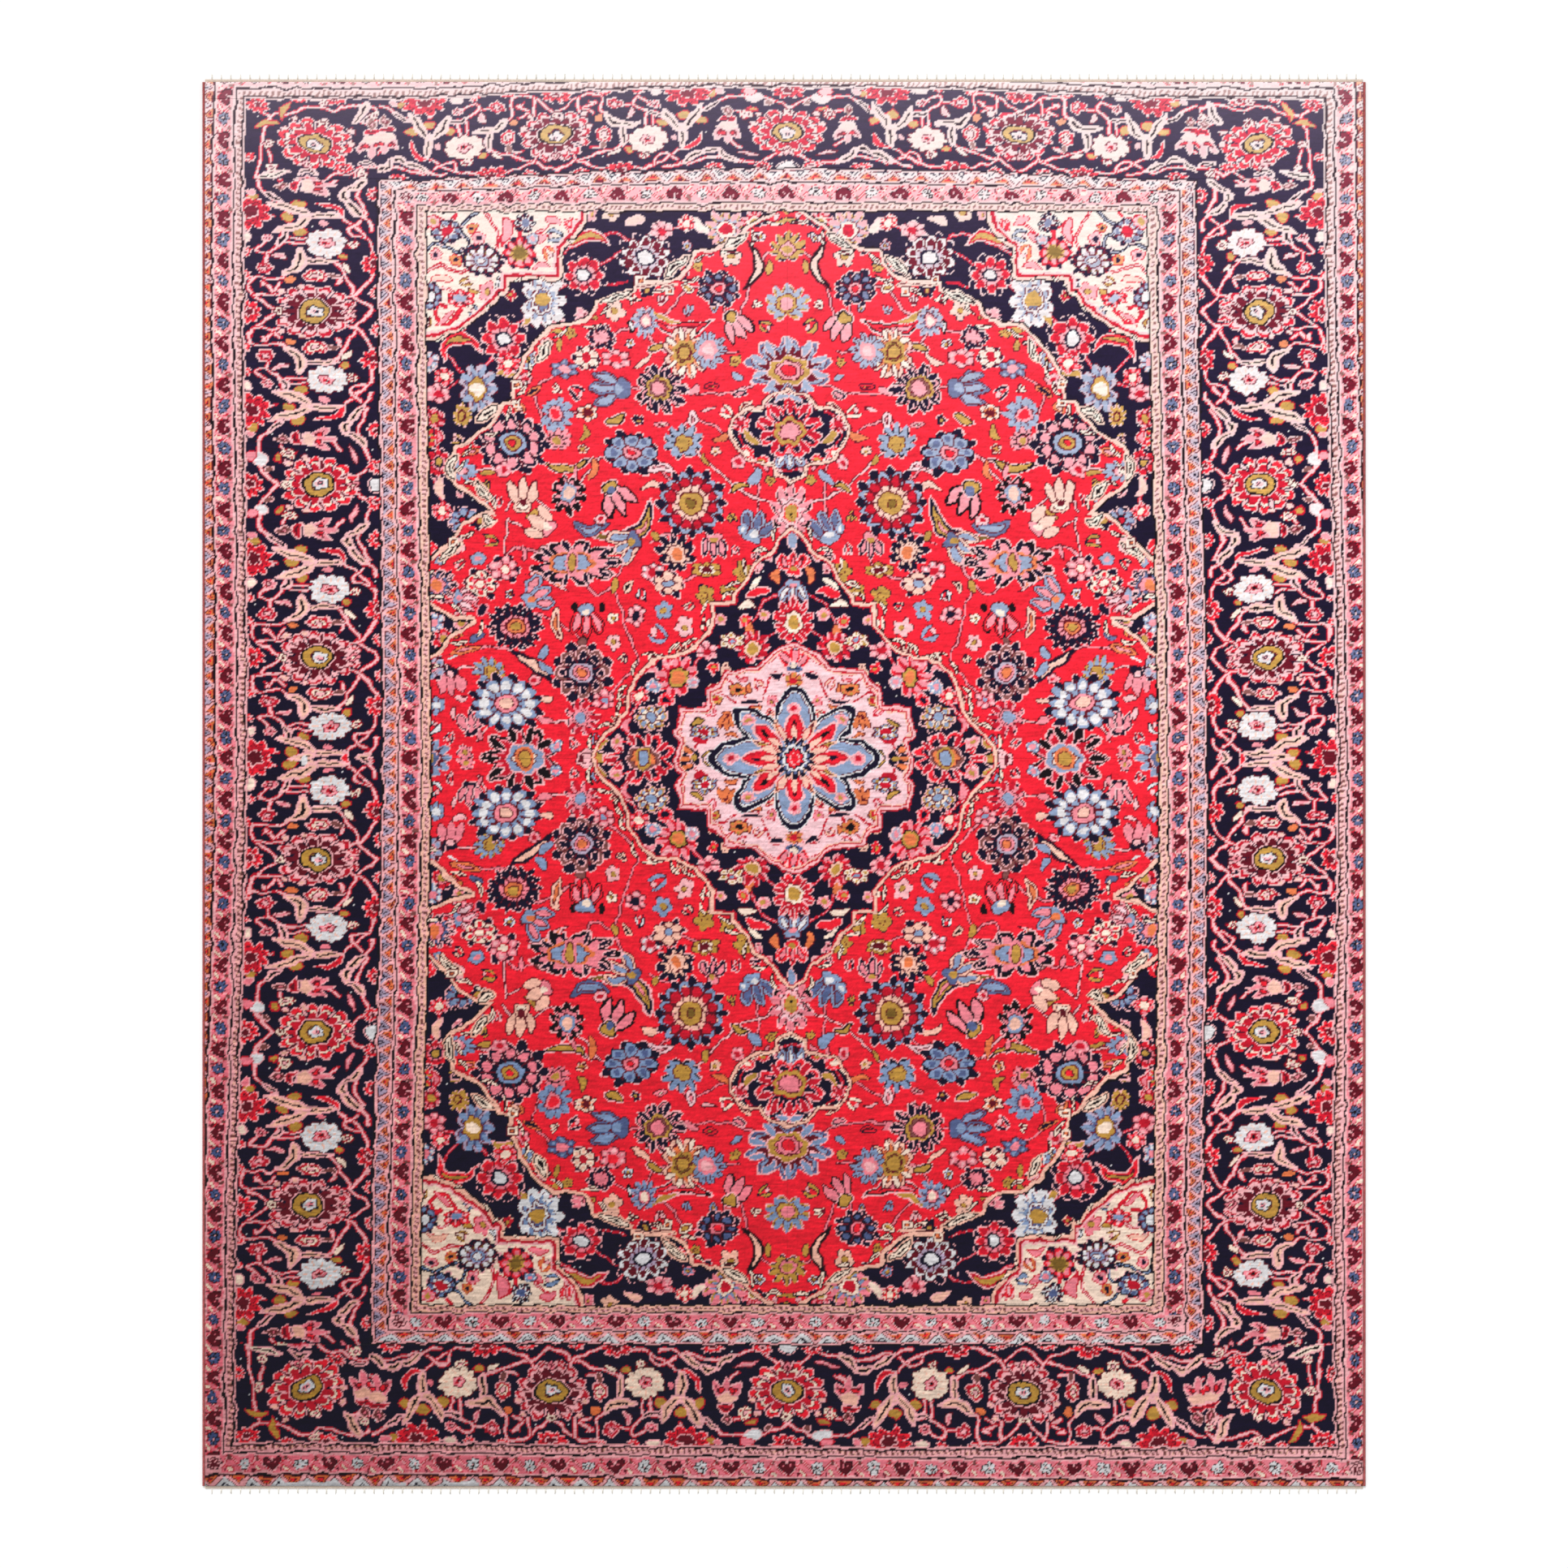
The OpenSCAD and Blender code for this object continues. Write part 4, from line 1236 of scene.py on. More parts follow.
def draw_flower_band(pitch, accent):
    """One red heart and one pale flower on a pink ground, with the vine that passes between them"""
    c = Cartoon(pitch, FLOWER_BAND, "pink", GUARD_SQUARE)
    half, quarter = pitch / 2, pitch / 4
    for start in (-half, 0, half, pitch):
        c.vine([(start - quarter, 2), (start, 32), (start + quarter, 2)], 5.2, "crimson 1.4 rose")
    for x in (quarter, half + quarter):
        c.leaf([(x - 7, 19), (x, 26), (x + 7, 33)], 9, "crimson 1.4 ivory")
        c.leaf([(x, 0), (x, 9)], 7, "brown")
        c.leaf([(x - 9, 34), (x - 9, 26)], 5, "maroon")
    for x in (0, pitch):
        for side in (-1, 1):
            c.flower(x + 7 * side, 15, 9, 12.5, "black 1.4 maroon", 0, 28 * side)
        c.flower(x, 23, 7, 9, "maroon")
        c.leaf([(x, 3), (x, 12)], 4, "rose")
        for side in (-1, 1):
            c.flower(x + 5.5 * side, 14, 1.8, 1.8, "pink")
    c.flower(half, 17, 15, 13.5, f"black 1.6 {accent}", 7, 180, 0.32)
    for petal in range(7):
        foot = petal_place(half, 17, 4, -4, 1, petal + 0.5, 7)
        tip = petal_place(half, 17, 11, -11, 1, petal + 0.5, 7)
        c.vine([foot, tip], 1.6, "black")
    c.flower(half, 17, 3, 3, "black 1 rose")
    return c


def draw_guard_corner():
    """The round flower where two flower bands meet"""
    c = Cartoon(FLOWER_BAND, FLOWER_BAND, "rose", GUARD_SQUARE)
    rosette(c, 17, 17, 15, 15, 8, 0, "black 1.5 maroon", "rose", "rose 1.5 maroon")
    return c


def draw_triangle_band(pitch, accent):
    """A pale triangle that points to the field, between red ones that point away from it"""
    c = Cartoon(pitch, TRIANGLE_BAND, "rose", GUARD_SQUARE)
    middle = pitch / 2
    for x in (0, pitch):
        c.patch([(x - 0.36 * pitch, 0), (x + 0.36 * pitch, 0), (x, 17)], "maroon 1.4 orange 2.5 red")
    c.patch([(1, 24), (middle, 0), (pitch - 1, 24)], f"maroon 1.6 {accent}")
    c.patch([(middle - 0.2 * pitch, 24), (middle, 10), (middle + 0.2 * pitch, 24)], f"navy 2.4 {accent}")
    return c


def draw_ticks():
    """The twisted cord between two stripes"""
    c = Cartoon(TICKS_PITCH, TICKS_BAND, "brown", GUARD_SQUARE)
    c.patch([(0, 0), (7, 0), (11, 9), (4, 9)], "rose 2 peach")
    return c


# Each stripe of a guard from its inner edge outwards: its width, and its dye or its drawing's name
INNER_STRIPES = (
    (4, "black"),
    (4, "peach"),
    (8, "ticks"),
    (4, "peach"),
    (4, "black"),
    (4, "rose"),
    (35, "flowers"),
    (4, "rose"),
    (4, "black"),
    (4, "rose"),
    (24, "triangles"),
    (4, "rose"),
    (4, "black"),
)
OUTER_STRIPES = (
    (4, "rose"),
    (4, "black"),
    (9, "ticks"),
    (4, "rose"),
    (4, "black"),
    (4, "rose"),
    (34, "flowers"),
    (4, "rose"),
    (4, "black"),
    (30, "triangles"),
)


def guard_dyes(stripes, drawings, across, along):
    """Dye numbers at places across and along a guard. Across is in the stripes' own millimetres"""
    dyes = np.full(across.shape, DYE_NUMBER["red"], np.uint8)
    edge = 0.0
    for width, what in stripes:
        inside = (across >= edge) & (across < edge + width)
        if what in drawings:
            drawing = drawings[what]
            depth = (across[inside] - edge) * drawing.dyes.shape[0] * drawing.square / width
            pitch = drawing.dyes.shape[1] * drawing.square
            dyes[inside] = drawing.at(np.mod(along[inside], pitch), depth)
        else:
            dyes[inside] = DYE_NUMBER[what]
        edge += width
    return dyes


def guard_drawings(end):
    """The guard's drawings at a side or an end: the ends are woven wider, and in paler wool"""
    flower_pitch, triangle_pitch = END_PITCHES if end else SIDE_PITCHES
    return {
        "flowers": draw_flower_band(flower_pitch, "white" if end else "slate"),
        "triangles": draw_triangle_band(triangle_pitch, "white" if end else "lilac"),
        "ticks": draw_ticks(),
    }


def draw_design():
    """Every drawing that the rug is knotted from. They are drawn once, and read for each knot"""
    return {
        "field": draw_field(),
        "areas": draw_plan(),
        "side": draw_border("white"),
        "end": draw_border("ivory"),
        "block": draw_border_corner(),
        "guard side": guard_drawings(end=False),
        "guard end": guard_drawings(end=True),
        "guard corner": draw_guard_corner(),
    }


# ---------------------------------------------------------------- from the drawings to the knots

# How the woven rows stray from the drawing, in millimetres: the rug's middle leans to the right and its
# ends to the left, it narrows by a small share towards the far end, the far border bows outwards in its
# middle, and the near one rises to the left
LEAN, LEAN_AT_ENDS, FAR_NARROWING = 16, 8, 0.008
BOW_TOP, BOW_DROP, BOW_LOWEST = 17, 24, -7
NEAR_TILT, NEAR_TILT_REACH = 10, 300


def drawing_place(x, y):
    """Where a knot at x, y about the field's middle is in the drawing, because woven rows wander"""
    along = y / HALF_L
    shift = LEAN * np.cos(np.clip(along, -1.2, 1.2) * math.pi / 2) ** 2 - LEAN_AT_ENDS
    u = (x - shift) / (1 - FAR_NARROWING * along)
    bow = np.maximum(BOW_TOP - BOW_DROP * (x / HALF_W) ** 2, BOW_LOWEST)
    tilt = NEAR_TILT * np.clip(-x / HALF_W, 0, 1)
    beyond_far = np.clip((y - HALF_L) / BAND_W["inner_guard", "far"], 0, 1)
    beyond_near = np.clip((-HALF_L - y) / NEAR_TILT_REACH, 0, 1)
    return u, y - bow * beyond_far - tilt * beyond_near


def fold(share):
    """Runs from 0 to 1 and back again, for a drawing that is mirrored at both of its ends"""
    return 1 - np.abs(np.mod(share, 2) - 1)


# Where the border's first mirror lies along a side, and how far apart the mirrors are
SIDE_START, SIDE_REPEAT, END_REPEAT = 211.0, 363.0, 490.0


def knot_plan(design, x, y):
    """The dye number of each knot, and the name number of the piece of pile that it is in"""
    u, v = drawing_place(x - CENTRE_X, y - CENTRE_Y)
    right, far = u > 0, v > 0
    out_x, out_y = np.abs(u) - HALF_W, np.abs(v) - HALF_L
    dyes = design["field"].at(np.abs(u), np.abs(v))
    areas = design["areas"].at(np.abs(u), np.abs(v))
    pieces = np.zeros(x.shape, int)
    for dye, names in AREA_PIECES.items():
        pieces = np.where(areas == DYE_NUMBER[dye], numbers_of(names, right, far), pieces)

    def widths(band):
        across = np.where(right, BAND_W[band, "right"], BAND_W[band, "left"])
        return across, np.where(far, BAND_W[band, "far"], BAND_W[band, "near"])

    band_w, band_l = widths("inner_guard")
    in_guard = (out_x > 0) | (out_y > 0)
    share_x, share_y = out_x / band_w, out_y / band_l
    full = BAND_W["inner_guard", "left"]
    guard = guard_band(design, INNER_STRIPES, share_x * full, share_y * full, u, v)
    dyes[in_guard] = guard[in_guard]
    pieces[in_guard] = band_pieces("inner_guard", out_y, right, far)[in_guard]

    out_x, out_y = out_x - band_w, out_y - band_l
    band_w, band_l = widths("main_border")
    in_border = (out_x > 0) | (out_y > 0)
    share_x, share_y = out_x / band_w, out_y / band_l
    along_side = fold((np.abs(v) - SIDE_START) / SIDE_REPEAT) * REPEAT_W
    along_end = fold(1 - np.abs(u) / END_REPEAT) * REPEAT_W
    side = design["side"].at(along_side, share_x * REPEAT_L)
    end = design["end"].at(along_end, share_y * REPEAT_L)
    corner = design["block"].at(share_x * BLOCK_W, share_y * REPEAT_L)
    border = np.where(out_y <= 0, side, np.where(out_x <= 0, end, corner))
    dyes[in_border] = border[in_border]
    pieces[in_border] = band_pieces("main_border", out_y, right, far)[in_border]

    out_x, out_y = out_x - band_w, out_y - band_l
    outside = (out_x > 0) | (out_y > 0)
    guard = guard_band(design, OUTER_STRIPES, out_x, out_y, u, v)
    dyes[outside] = guard[outside]
    pieces[outside] = band_pieces("outer_guard", out_y, right, far)[outside]
    return dyes, pieces


def guard_band(design, stripes, across_x, across_y, u, v):
    """A guard all the way round: its sides, its ends and the round flower at each of its corners"""
    side = guard_dyes(stripes, design["guard side"], across_x, v)
    end = guard_dyes(stripes, design["guard end"], across_y, u)
    dyes = np.where(across_x > across_y, side, end)
    start = 0.0
    for width, what in stripes:
        if what == "flowers":
            past_start = np.minimum(across_x, across_y) >= start
            at_corner = past_start & (np.maximum(across_x, across_y) < start + width)
            flower = design["guard corner"].at(across_x - start, across_y - start)
            dyes[at_corner] = flower[at_corner]
        start += width
    return dyes


QUARTERS = [f"{end}_{side}" for end in ENDS for side in SIDES]
AREA_PIECES = {
    "red": [f"field_{quarter}" for quarter in QUARTERS],
    "navy": ["medallion"] * 4,
    "blush": ["medallion_panel"] * 4,
    "blue": ["medallion_star"] * 4,
    "slate": [f"pendant_{end}" for end in ENDS for _ in SIDES],
    "black": [f"spandrel_{quarter}" for quarter in QUARTERS],
    "ivory": [f"corner_{quarter}" for quarter in QUARTERS],
}
PILE_PIECES = sorted({name for names in AREA_PIECES.values() for name in names})
PILE_PIECES += [f"{band}_{edge}" for band in BANDS for edge in SIDES + ENDS]


def numbers_of(names, right, far):
    """The piece numbers for the near left, near right, far left and far right quarter"""
    numbers = np.array([PILE_PIECES.index(name) for name in names])
    return numbers[right.astype(int) + 2 * far.astype(int)]


def band_pieces(band, out_y, right, far):
    """The side pieces fit between the two end pieces, which run over the full width"""
    sides = numbers_of([f"{band}_left", f"{band}_right"] * 2, right, far)
    ends = numbers_of([f"{band}_{end}" for end in ENDS for _ in SIDES], right, far)
    return np.where(out_y > 0, ends, sides)


# The worn stretches of the near edge, from left to right, and how deep they are
WORN_EDGE = ((-1057, -929), (-827, -793), (-699, -640))
WORN_DEPTH, WORN_RIPPLE = 9, 3
# The white spot's place and its half width and length, and the share of navy knots that are bare
WHITE_KNOTS = (-1006, 49, 7, 11)
BARE_SHARE = 0.0008


def wear(dyes, x, y):
    """Cotton shows where the last rows of knots are worn away, and at one small spot on the left border"""
    for left, right in WORN_EDGE:
        worn = y < RUG_NEAR + WORN_DEPTH + WORN_RIPPLE * np.sin(x / 9)
        dyes[(x > left) & (x < right) & worn] = DYE_NUMBER["white"]
    spot_x, spot_y, half_w, half_l = WHITE_KNOTS
    dyes[np.hypot((x - spot_x) / half_w, (y - spot_y) / half_l) < 1] = DYE_NUMBER["white"]
    bare = np.random.default_rng(SEED).random(dyes.shape) < BARE_SHARE
    dyes[bare & (dyes == DYE_NUMBER["navy"])] = DYE_NUMBER["white"]
    return dyes


def smeared(values, axis, reach):
    """The running mean of an array along one axis"""
    total = values.copy()
    for step in range(1, reach + 1):
        total += np.roll(values, step, axis) + np.roll(values, -step, axis)
    return total / (2 * reach + 1)


# How unevenly the rows, the dashes along them and the single knots are dyed
ROW_SPREAD, DASH_SPREAD, KNOT_SPREAD = 0.035, 0.16, 0.035
# The painted light on the near end, and what the far end and the right side add to it
NEAR_LIGHT, FAR_LIGHT, RIGHT_LIGHT = 0.82, 0.35, 0.07
# The painted sheen: its pale tint, how much of it lies over the near end, and what the far half and the last
# of the far end add to it
SHEEN_TINT = (0.98, 0.92, 0.92)
NEAR_SHEEN, FAR_SHEEN, END_SHEEN = 0.03, 0.4, 0.3
DISPLAY_POWER = 2.2


def knot_colours(dyes, x, y, random):
    """Linear colours of the knots, with uneven dye along the rows, painted light that grows towards the far
    end and the right side, and a painted sheen that pales the far end
    """
    table = np.array(list(DYES.values()))
    colours = table[dyes]
    rows = smeared(random.normal(0, 1, (dyes.shape[0], 1)), 0, 3) * ROW_SPREAD
    dashes = smeared(random.normal(0, 1, dyes.shape), 1, 3) * DASH_SPREAD
    single = random.normal(0, KNOT_SPREAD, dyes.shape)
    colours = colours * (1 + rows + dashes + single)[..., None]
    share = (y - RUG_NEAR) / (RUG_FAR - RUG_NEAR)
    # Painted light: the knots are brighter towards the far end and the right side
    painted_light = NEAR_LIGHT + FAR_LIGHT * share + RIGHT_LIGHT * x / RUG_RIGHT
    # Painted sheen: a pale veil that grows towards the far end and the right side, and that dark dyes take
    # less of
    paleness = np.clip((table.min(axis=1) - 0.08) / 0.32, 0.08, 1.4)[dyes]
    sheen_share = NEAR_SHEEN + FAR_SHEEN * share**2 + RIGHT_LIGHT * x / RUG_RIGHT
    painted_sheen = (paleness * sheen_share + END_SHEEN * share**8)[..., None]
    colours = colours * painted_light[..., None] * (1 - painted_sheen) + np.array(SHEEN_TINT) * painted_sheen
    return np.clip(colours, 0.01, 1) ** DISPLAY_POWER


# ---------------------------------------------------------------- the pile and the cotton


# How far the weaver's hand strays, in millimetres
HAND = 1.7
# How far the pile lies below the CAD top, and how much lower dark wool, bare cotton and the rug's edge are
PILE_CLEARANCE, CORRODED_DROP, BARE_DROP, EDGE_DROP = 0.5, 0.6, 0.3, 2.5
RIDGE, TUFT_SPREAD, EDGE_REACH = 0.12, 0.5, 3.0


class Knots:
    """The grid of knots over the whole rug: colours and heights at its corners, piece numbers between them"""

    def __init__(self, pitch):
        self.columns = round((RUG_RIGHT - RUG_LEFT) / pitch)
        self.rows = round((RUG_FAR - RUG_NEAR) / pitch)
        self.xs = np.linspace(RUG_LEFT, RUG_RIGHT, self.columns + 1)
        self.ys = np.linspace(RUG_NEAR, RUG_FAR, self.rows + 1)
        x, y = np.meshgrid(self.xs, self.ys)
        random = np.random.default_rng(SEED)
        hand_x, hand_y = (HAND * self.wander(x.shape, random) for _ in "xy")
        design = draw_design()
        dyes, _ = knot_plan(design, x + hand_x, y + hand_y)
        dyes = wear(dyes, x, y)
        self.colours = knot_colours(dyes, x, y, random)
        self.heights = self.pile_heights(dyes, x, y, random)
        _, self.pieces = knot_plan(design, x[:-1, :-1] + pitch / 2, y[:-1, :-1] + pitch / 2)

    def wander(self, shape, random):
        """How far the knots stray from the drawing, in shares: uneven at the reach of a petal"""
        noise = random.normal(0, 1, shape)
        for axis in (0, 1, 0, 1):
            noise = smeared(noise, axis, 2)
        return noise / noise.std()

    def pile_heights(self, dyes, x, y, random):
        """Dark wool is worn lower, rows stand in fine ridges, and the pile falls off at the rug's edge"""
        low = np.isin(dyes, [DYE_NUMBER[dye] for dye in CORRODED])
        bare = dyes == DYE_NUMBER["white"]
        ridges = RIDGE * np.cos(np.arange(dyes.shape[0]) * math.pi)[:, None]
        edge = np.minimum.reduce([x - RUG_LEFT, RUG_RIGHT - x, y - RUG_NEAR, RUG_FAR - y])
        heights = PILE_TOP - PILE_CLEARANCE - CORRODED_DROP * low - BARE_DROP * bare + ridges
        heights += smeared(random.normal(0, TUFT_SPREAD, dyes.shape), 1, 1)
        return np.minimum(heights - EDGE_DROP * np.exp(-edge / EDGE_REACH), PILE_TOP)


def sheet_mesh(columns, rows, inside):
    """A closed slab over the squares that are inside, one unit a square, from 0 at its bottom to 1"""
    bm = bmesh.new()
    bmesh.ops.create_grid(bm, x_segments=columns, y_segments=rows, size=0.5)
    for vertex in bm.verts:
        vertex.co = (round((vertex.co.x + 0.5) * columns), round((vertex.co.y + 0.5) * rows), 1)
    outside = []
    for face in bm.faces:
        middle = face.calc_center_median()
        if not inside[int(middle.y), int(middle.x)]:
            outside.append(face)
    bmesh.ops.delete(bm, geom=outside, context="FACES")
    rim = [edge for edge in bm.edges if edge.is_boundary]
    skirt = bmesh.ops.extrude_edge_only(bm, edges=rim)["geom"]
    foot = [part for part in skirt if isinstance(part, bmesh.types.BMEdge)]
    for part in skirt:
        if isinstance(part, bmesh.types.BMVert):
            part.co.z = 0
    bmesh.ops.triangle_fill(bm, edges=foot, use_beauty=False, normal=(0, 0, -1))
    return bm


def finish_mesh(bm, name):
    """Makes an object of a bmesh, at the origin"""
    mesh = bpy.data.meshes.new(name)
    bm.to_mesh(mesh)
    bm.free()
    piece = bpy.data.objects.new(name, mesh)
    bpy.context.scene.collection.objects.link(piece)
    return piece


def corner_places(mesh):
    """The places of a mesh's corners, a row for each"""
    places = np.empty(3 * len(mesh.vertices))
    mesh.vertices.foreach_get("co", places)
    return places.reshape(-1, 3)


def move_corners(mesh, places):
    """Puts a mesh's corners at these places"""
    mesh.vertices.foreach_set("co", np.asarray(places, np.float32).ravel())
    mesh.update()


def dye_mesh(mesh, colours):
    """Gives each corner of a mesh its colour: its dye, with the painted light and painted sheen of the knots
    """
    layer = mesh.color_attributes.new("dye", "FLOAT_COLOR", "POINT")
    solid = np.ones((len(colours), 4), np.float32)
    solid[:, :3] = colours
    layer.data.foreach_set("color", solid.ravel())


def lay_flat_map(mesh, places, width, length):
    """A map of the piece as seen from above, for its baked colours"""
    layer = mesh.uv_layers.new(name="OFBake")
    loops = np.empty(len(mesh.loops), int)
    mesh.loops.foreach_get("vertex_index", loops)
    flat = places[loops, :2] / (width, length)
    layer.data.foreach_set("uv", flat.astype(np.float32).ravel())


def pile_piece(name, knots):
    """One area of the pattern as a closed piece of pile"""
    inside = knots.pieces == PILE_PIECES.index(name)
    rows = np.flatnonzero(inside.any(axis=1))
    columns = np.flatnonzero(inside.any(axis=0))
    first_row, first_column = rows[0], columns[0]
    inside = inside[first_row : rows[-1] + 1, first_column : columns[-1] + 1]
    piece = finish_mesh(sheet_mesh(inside.shape[1], inside.shape[0], inside), f"pile_{name}")
    places = corner_places(piece.data)
    column = places[:, 0].astype(int) + first_column
    row = places[:, 1].astype(int) + first_row
    top = places[:, 2] > 0.5
    heights = np.where(top, knots.heights[row, column], PILE_BOTTOM)
    lay_flat_map(piece.data, places, inside.shape[1], inside.shape[0])
    dye_mesh(piece.data, knots.colours[row, column])
    move_corners(piece.data, np.column_stack([knots.xs[column], knots.ys[row], heights]) * MM)
    piece.data.shade_smooth()
    return piece


# The cloth is as coarse as this many knots, because only its underside shows
BACK_STEP = 3


def foundation_piece(knots):
    """The cotton cloth that the knots are tied to. Their backs show on its underside"""
    columns, rows = knots.columns // BACK_STEP, knots.rows // BACK_STEP
    piece = finish_mesh(sheet_mesh(columns, rows, np.ones((rows, columns), bool)), "foundation_cloth")
    places = corner_places(piece.data)
    column = (places[:, 0] / columns * knots.columns).astype(int)
    row = (places[:, 1] / rows * knots.rows).astype(int)
    lay_flat_map(piece.data, places, columns, rows)
    # The knot backs take the pile's colours, paler, with their painted light and painted sheen
    dye_mesh(piece.data, 0.85 * knots.colours[row, column] + 0.1)
    weave = 0.15 + 0.15 * np.cos(math.pi * (row // BACK_STEP))
    heights = np.where(places[:, 2] > 0.5, weave, PILE_BOTTOM)
    move_corners(piece.data, np.column_stack([knots.xs[column], knots.ys[row], heights]) * MM)
    piece.data.flip_normals()
    return piece


# The winding's turns are a pitch apart, slant a little, and have a groove between them
OVERCAST_PITCH, OVERCAST_SIDES = 4.0, 8
OVERCAST_GROOVE, OVERCAST_SLANT = 0.86, 0.8


def selvedge_piece(side):
    """The side cord: two warps with wool wound round and round them"""
    left, right, near, far, bottom, top = span(f"selvedge_{side}")
    rings = 2 * round((far - near) / OVERCAST_PITCH)
    bm = bmesh.new()
    bmesh.ops.create_grid(bm, x_segments=OVERCAST_SIDES, y_segments=rings, size=0.5)
    for vertex in bm.verts:
        angle = -2 * math.pi * (vertex.co.x + 0.5)
        ring = round((vertex.co.y + 0.5) * rings)
        radius = (top - bottom) / 2 * (1.0 if ring % 2 else OVERCAST_GROOVE)
        slant = OVERCAST_SLANT * math.sin(angle) if 0 < ring < rings else 0
        x = (left + right) / 2 + radius * math.cos(angle)
        y = near + (far - near) * ring / rings + slant
        vertex.co = (x * MM, y * MM, ((top + bottom) / 2 + radius * math.sin(angle)) * MM)
    bmesh.ops.remove_doubles(bm, verts=bm.verts, dist=0.01 * MM)
    bmesh.ops.holes_fill(bm, edges=[edge for edge in bm.edges if edge.is_boundary])
    bmesh.ops.recalc_face_normals(bm, faces=bm.faces)
    piece = finish_mesh(bm, f"overcast_{side}")
    piece.data.shade_smooth()
    return piece


BAND_RIBS, BAND_ROWS, RIB_DEPTH = 800, 4, 0.25


def end_band_piece(end):
    """The flat-woven cotton band past the last row of knots, with its weft ribs"""
    left, right, near, far, bottom, top = span(f"kilim_end_{end}")
    columns, rows = BAND_RIBS, BAND_ROWS
    piece = finish_mesh(sheet_mesh(columns, rows, np.ones((rows, columns), bool)), f"end_band_{end}")
    places = corner_places(piece.data)
    x = left + (right - left) * places[:, 0] / columns
    y = near + (far - near) * places[:, 1] / rows
    ribs = top - RIB_DEPTH - RIB_DEPTH * np.cos(math.pi * (places[:, 0] + places[:, 1]))
    move_corners(piece.data, np.column_stack([x, y, np.where(places[:, 2] > 0.5, ribs, bottom)]) * MM)
    piece.data.shade_smooth()
    return piece


FRINGE_PITCH, STRANDS, STRAND_SIDES = 20.0, 3, 6


def fringe_piece(end):
    """Warp ends past the end band: bundles of cotton strands that lie on the floor"""
    left, right, near, far, bottom, top = span(f"fringe_{end}")
    random = np.random.default_rng(SEED + (end == "far"))
    bundles = round((right - left) / FRINGE_PITCH) + 1
    outward = 1 if end == "far" else -1
    root = near if end == "far" else far
    bm = bmesh.new()
    rod = {"cap_ends": True, "segments": STRAND_SIDES, "radius1": 0.5, "radius2": 0.5, "depth": 1}
    for bundle in range(bundles):
        middle = left + 1 + bundle * (right - left - 2) / (bundles - 1)
        for strand in range(STRANDS):
            lean = random.uniform(-1.6, 1.6)
            length = (far - near) * random.uniform(0.7, 1.0)
            for vertex in bmesh.ops.create_cone(bm, **rod)["verts"]:
                along = vertex.co.z + 0.5
                thick = (top - bottom) / 2 * (0.9 - 0.4 * along)
                x = middle + 0.6 * (strand - 1) + vertex.co.x * 2 * thick + lean * along * 0.6
                z = bottom + thick * (1 + 2 * vertex.co.y)
                vertex.co = (min(max(x, left), right) * MM, (root + outward * along * length) * MM, z * MM)
    bmesh.ops.recalc_face_normals(bm, faces=bm.faces)
    piece = finish_mesh(bm, f"fringe_tufts_{end}")
    piece.data.shade_smooth()
    return piece


# ---------------------------------------------------------------- materials


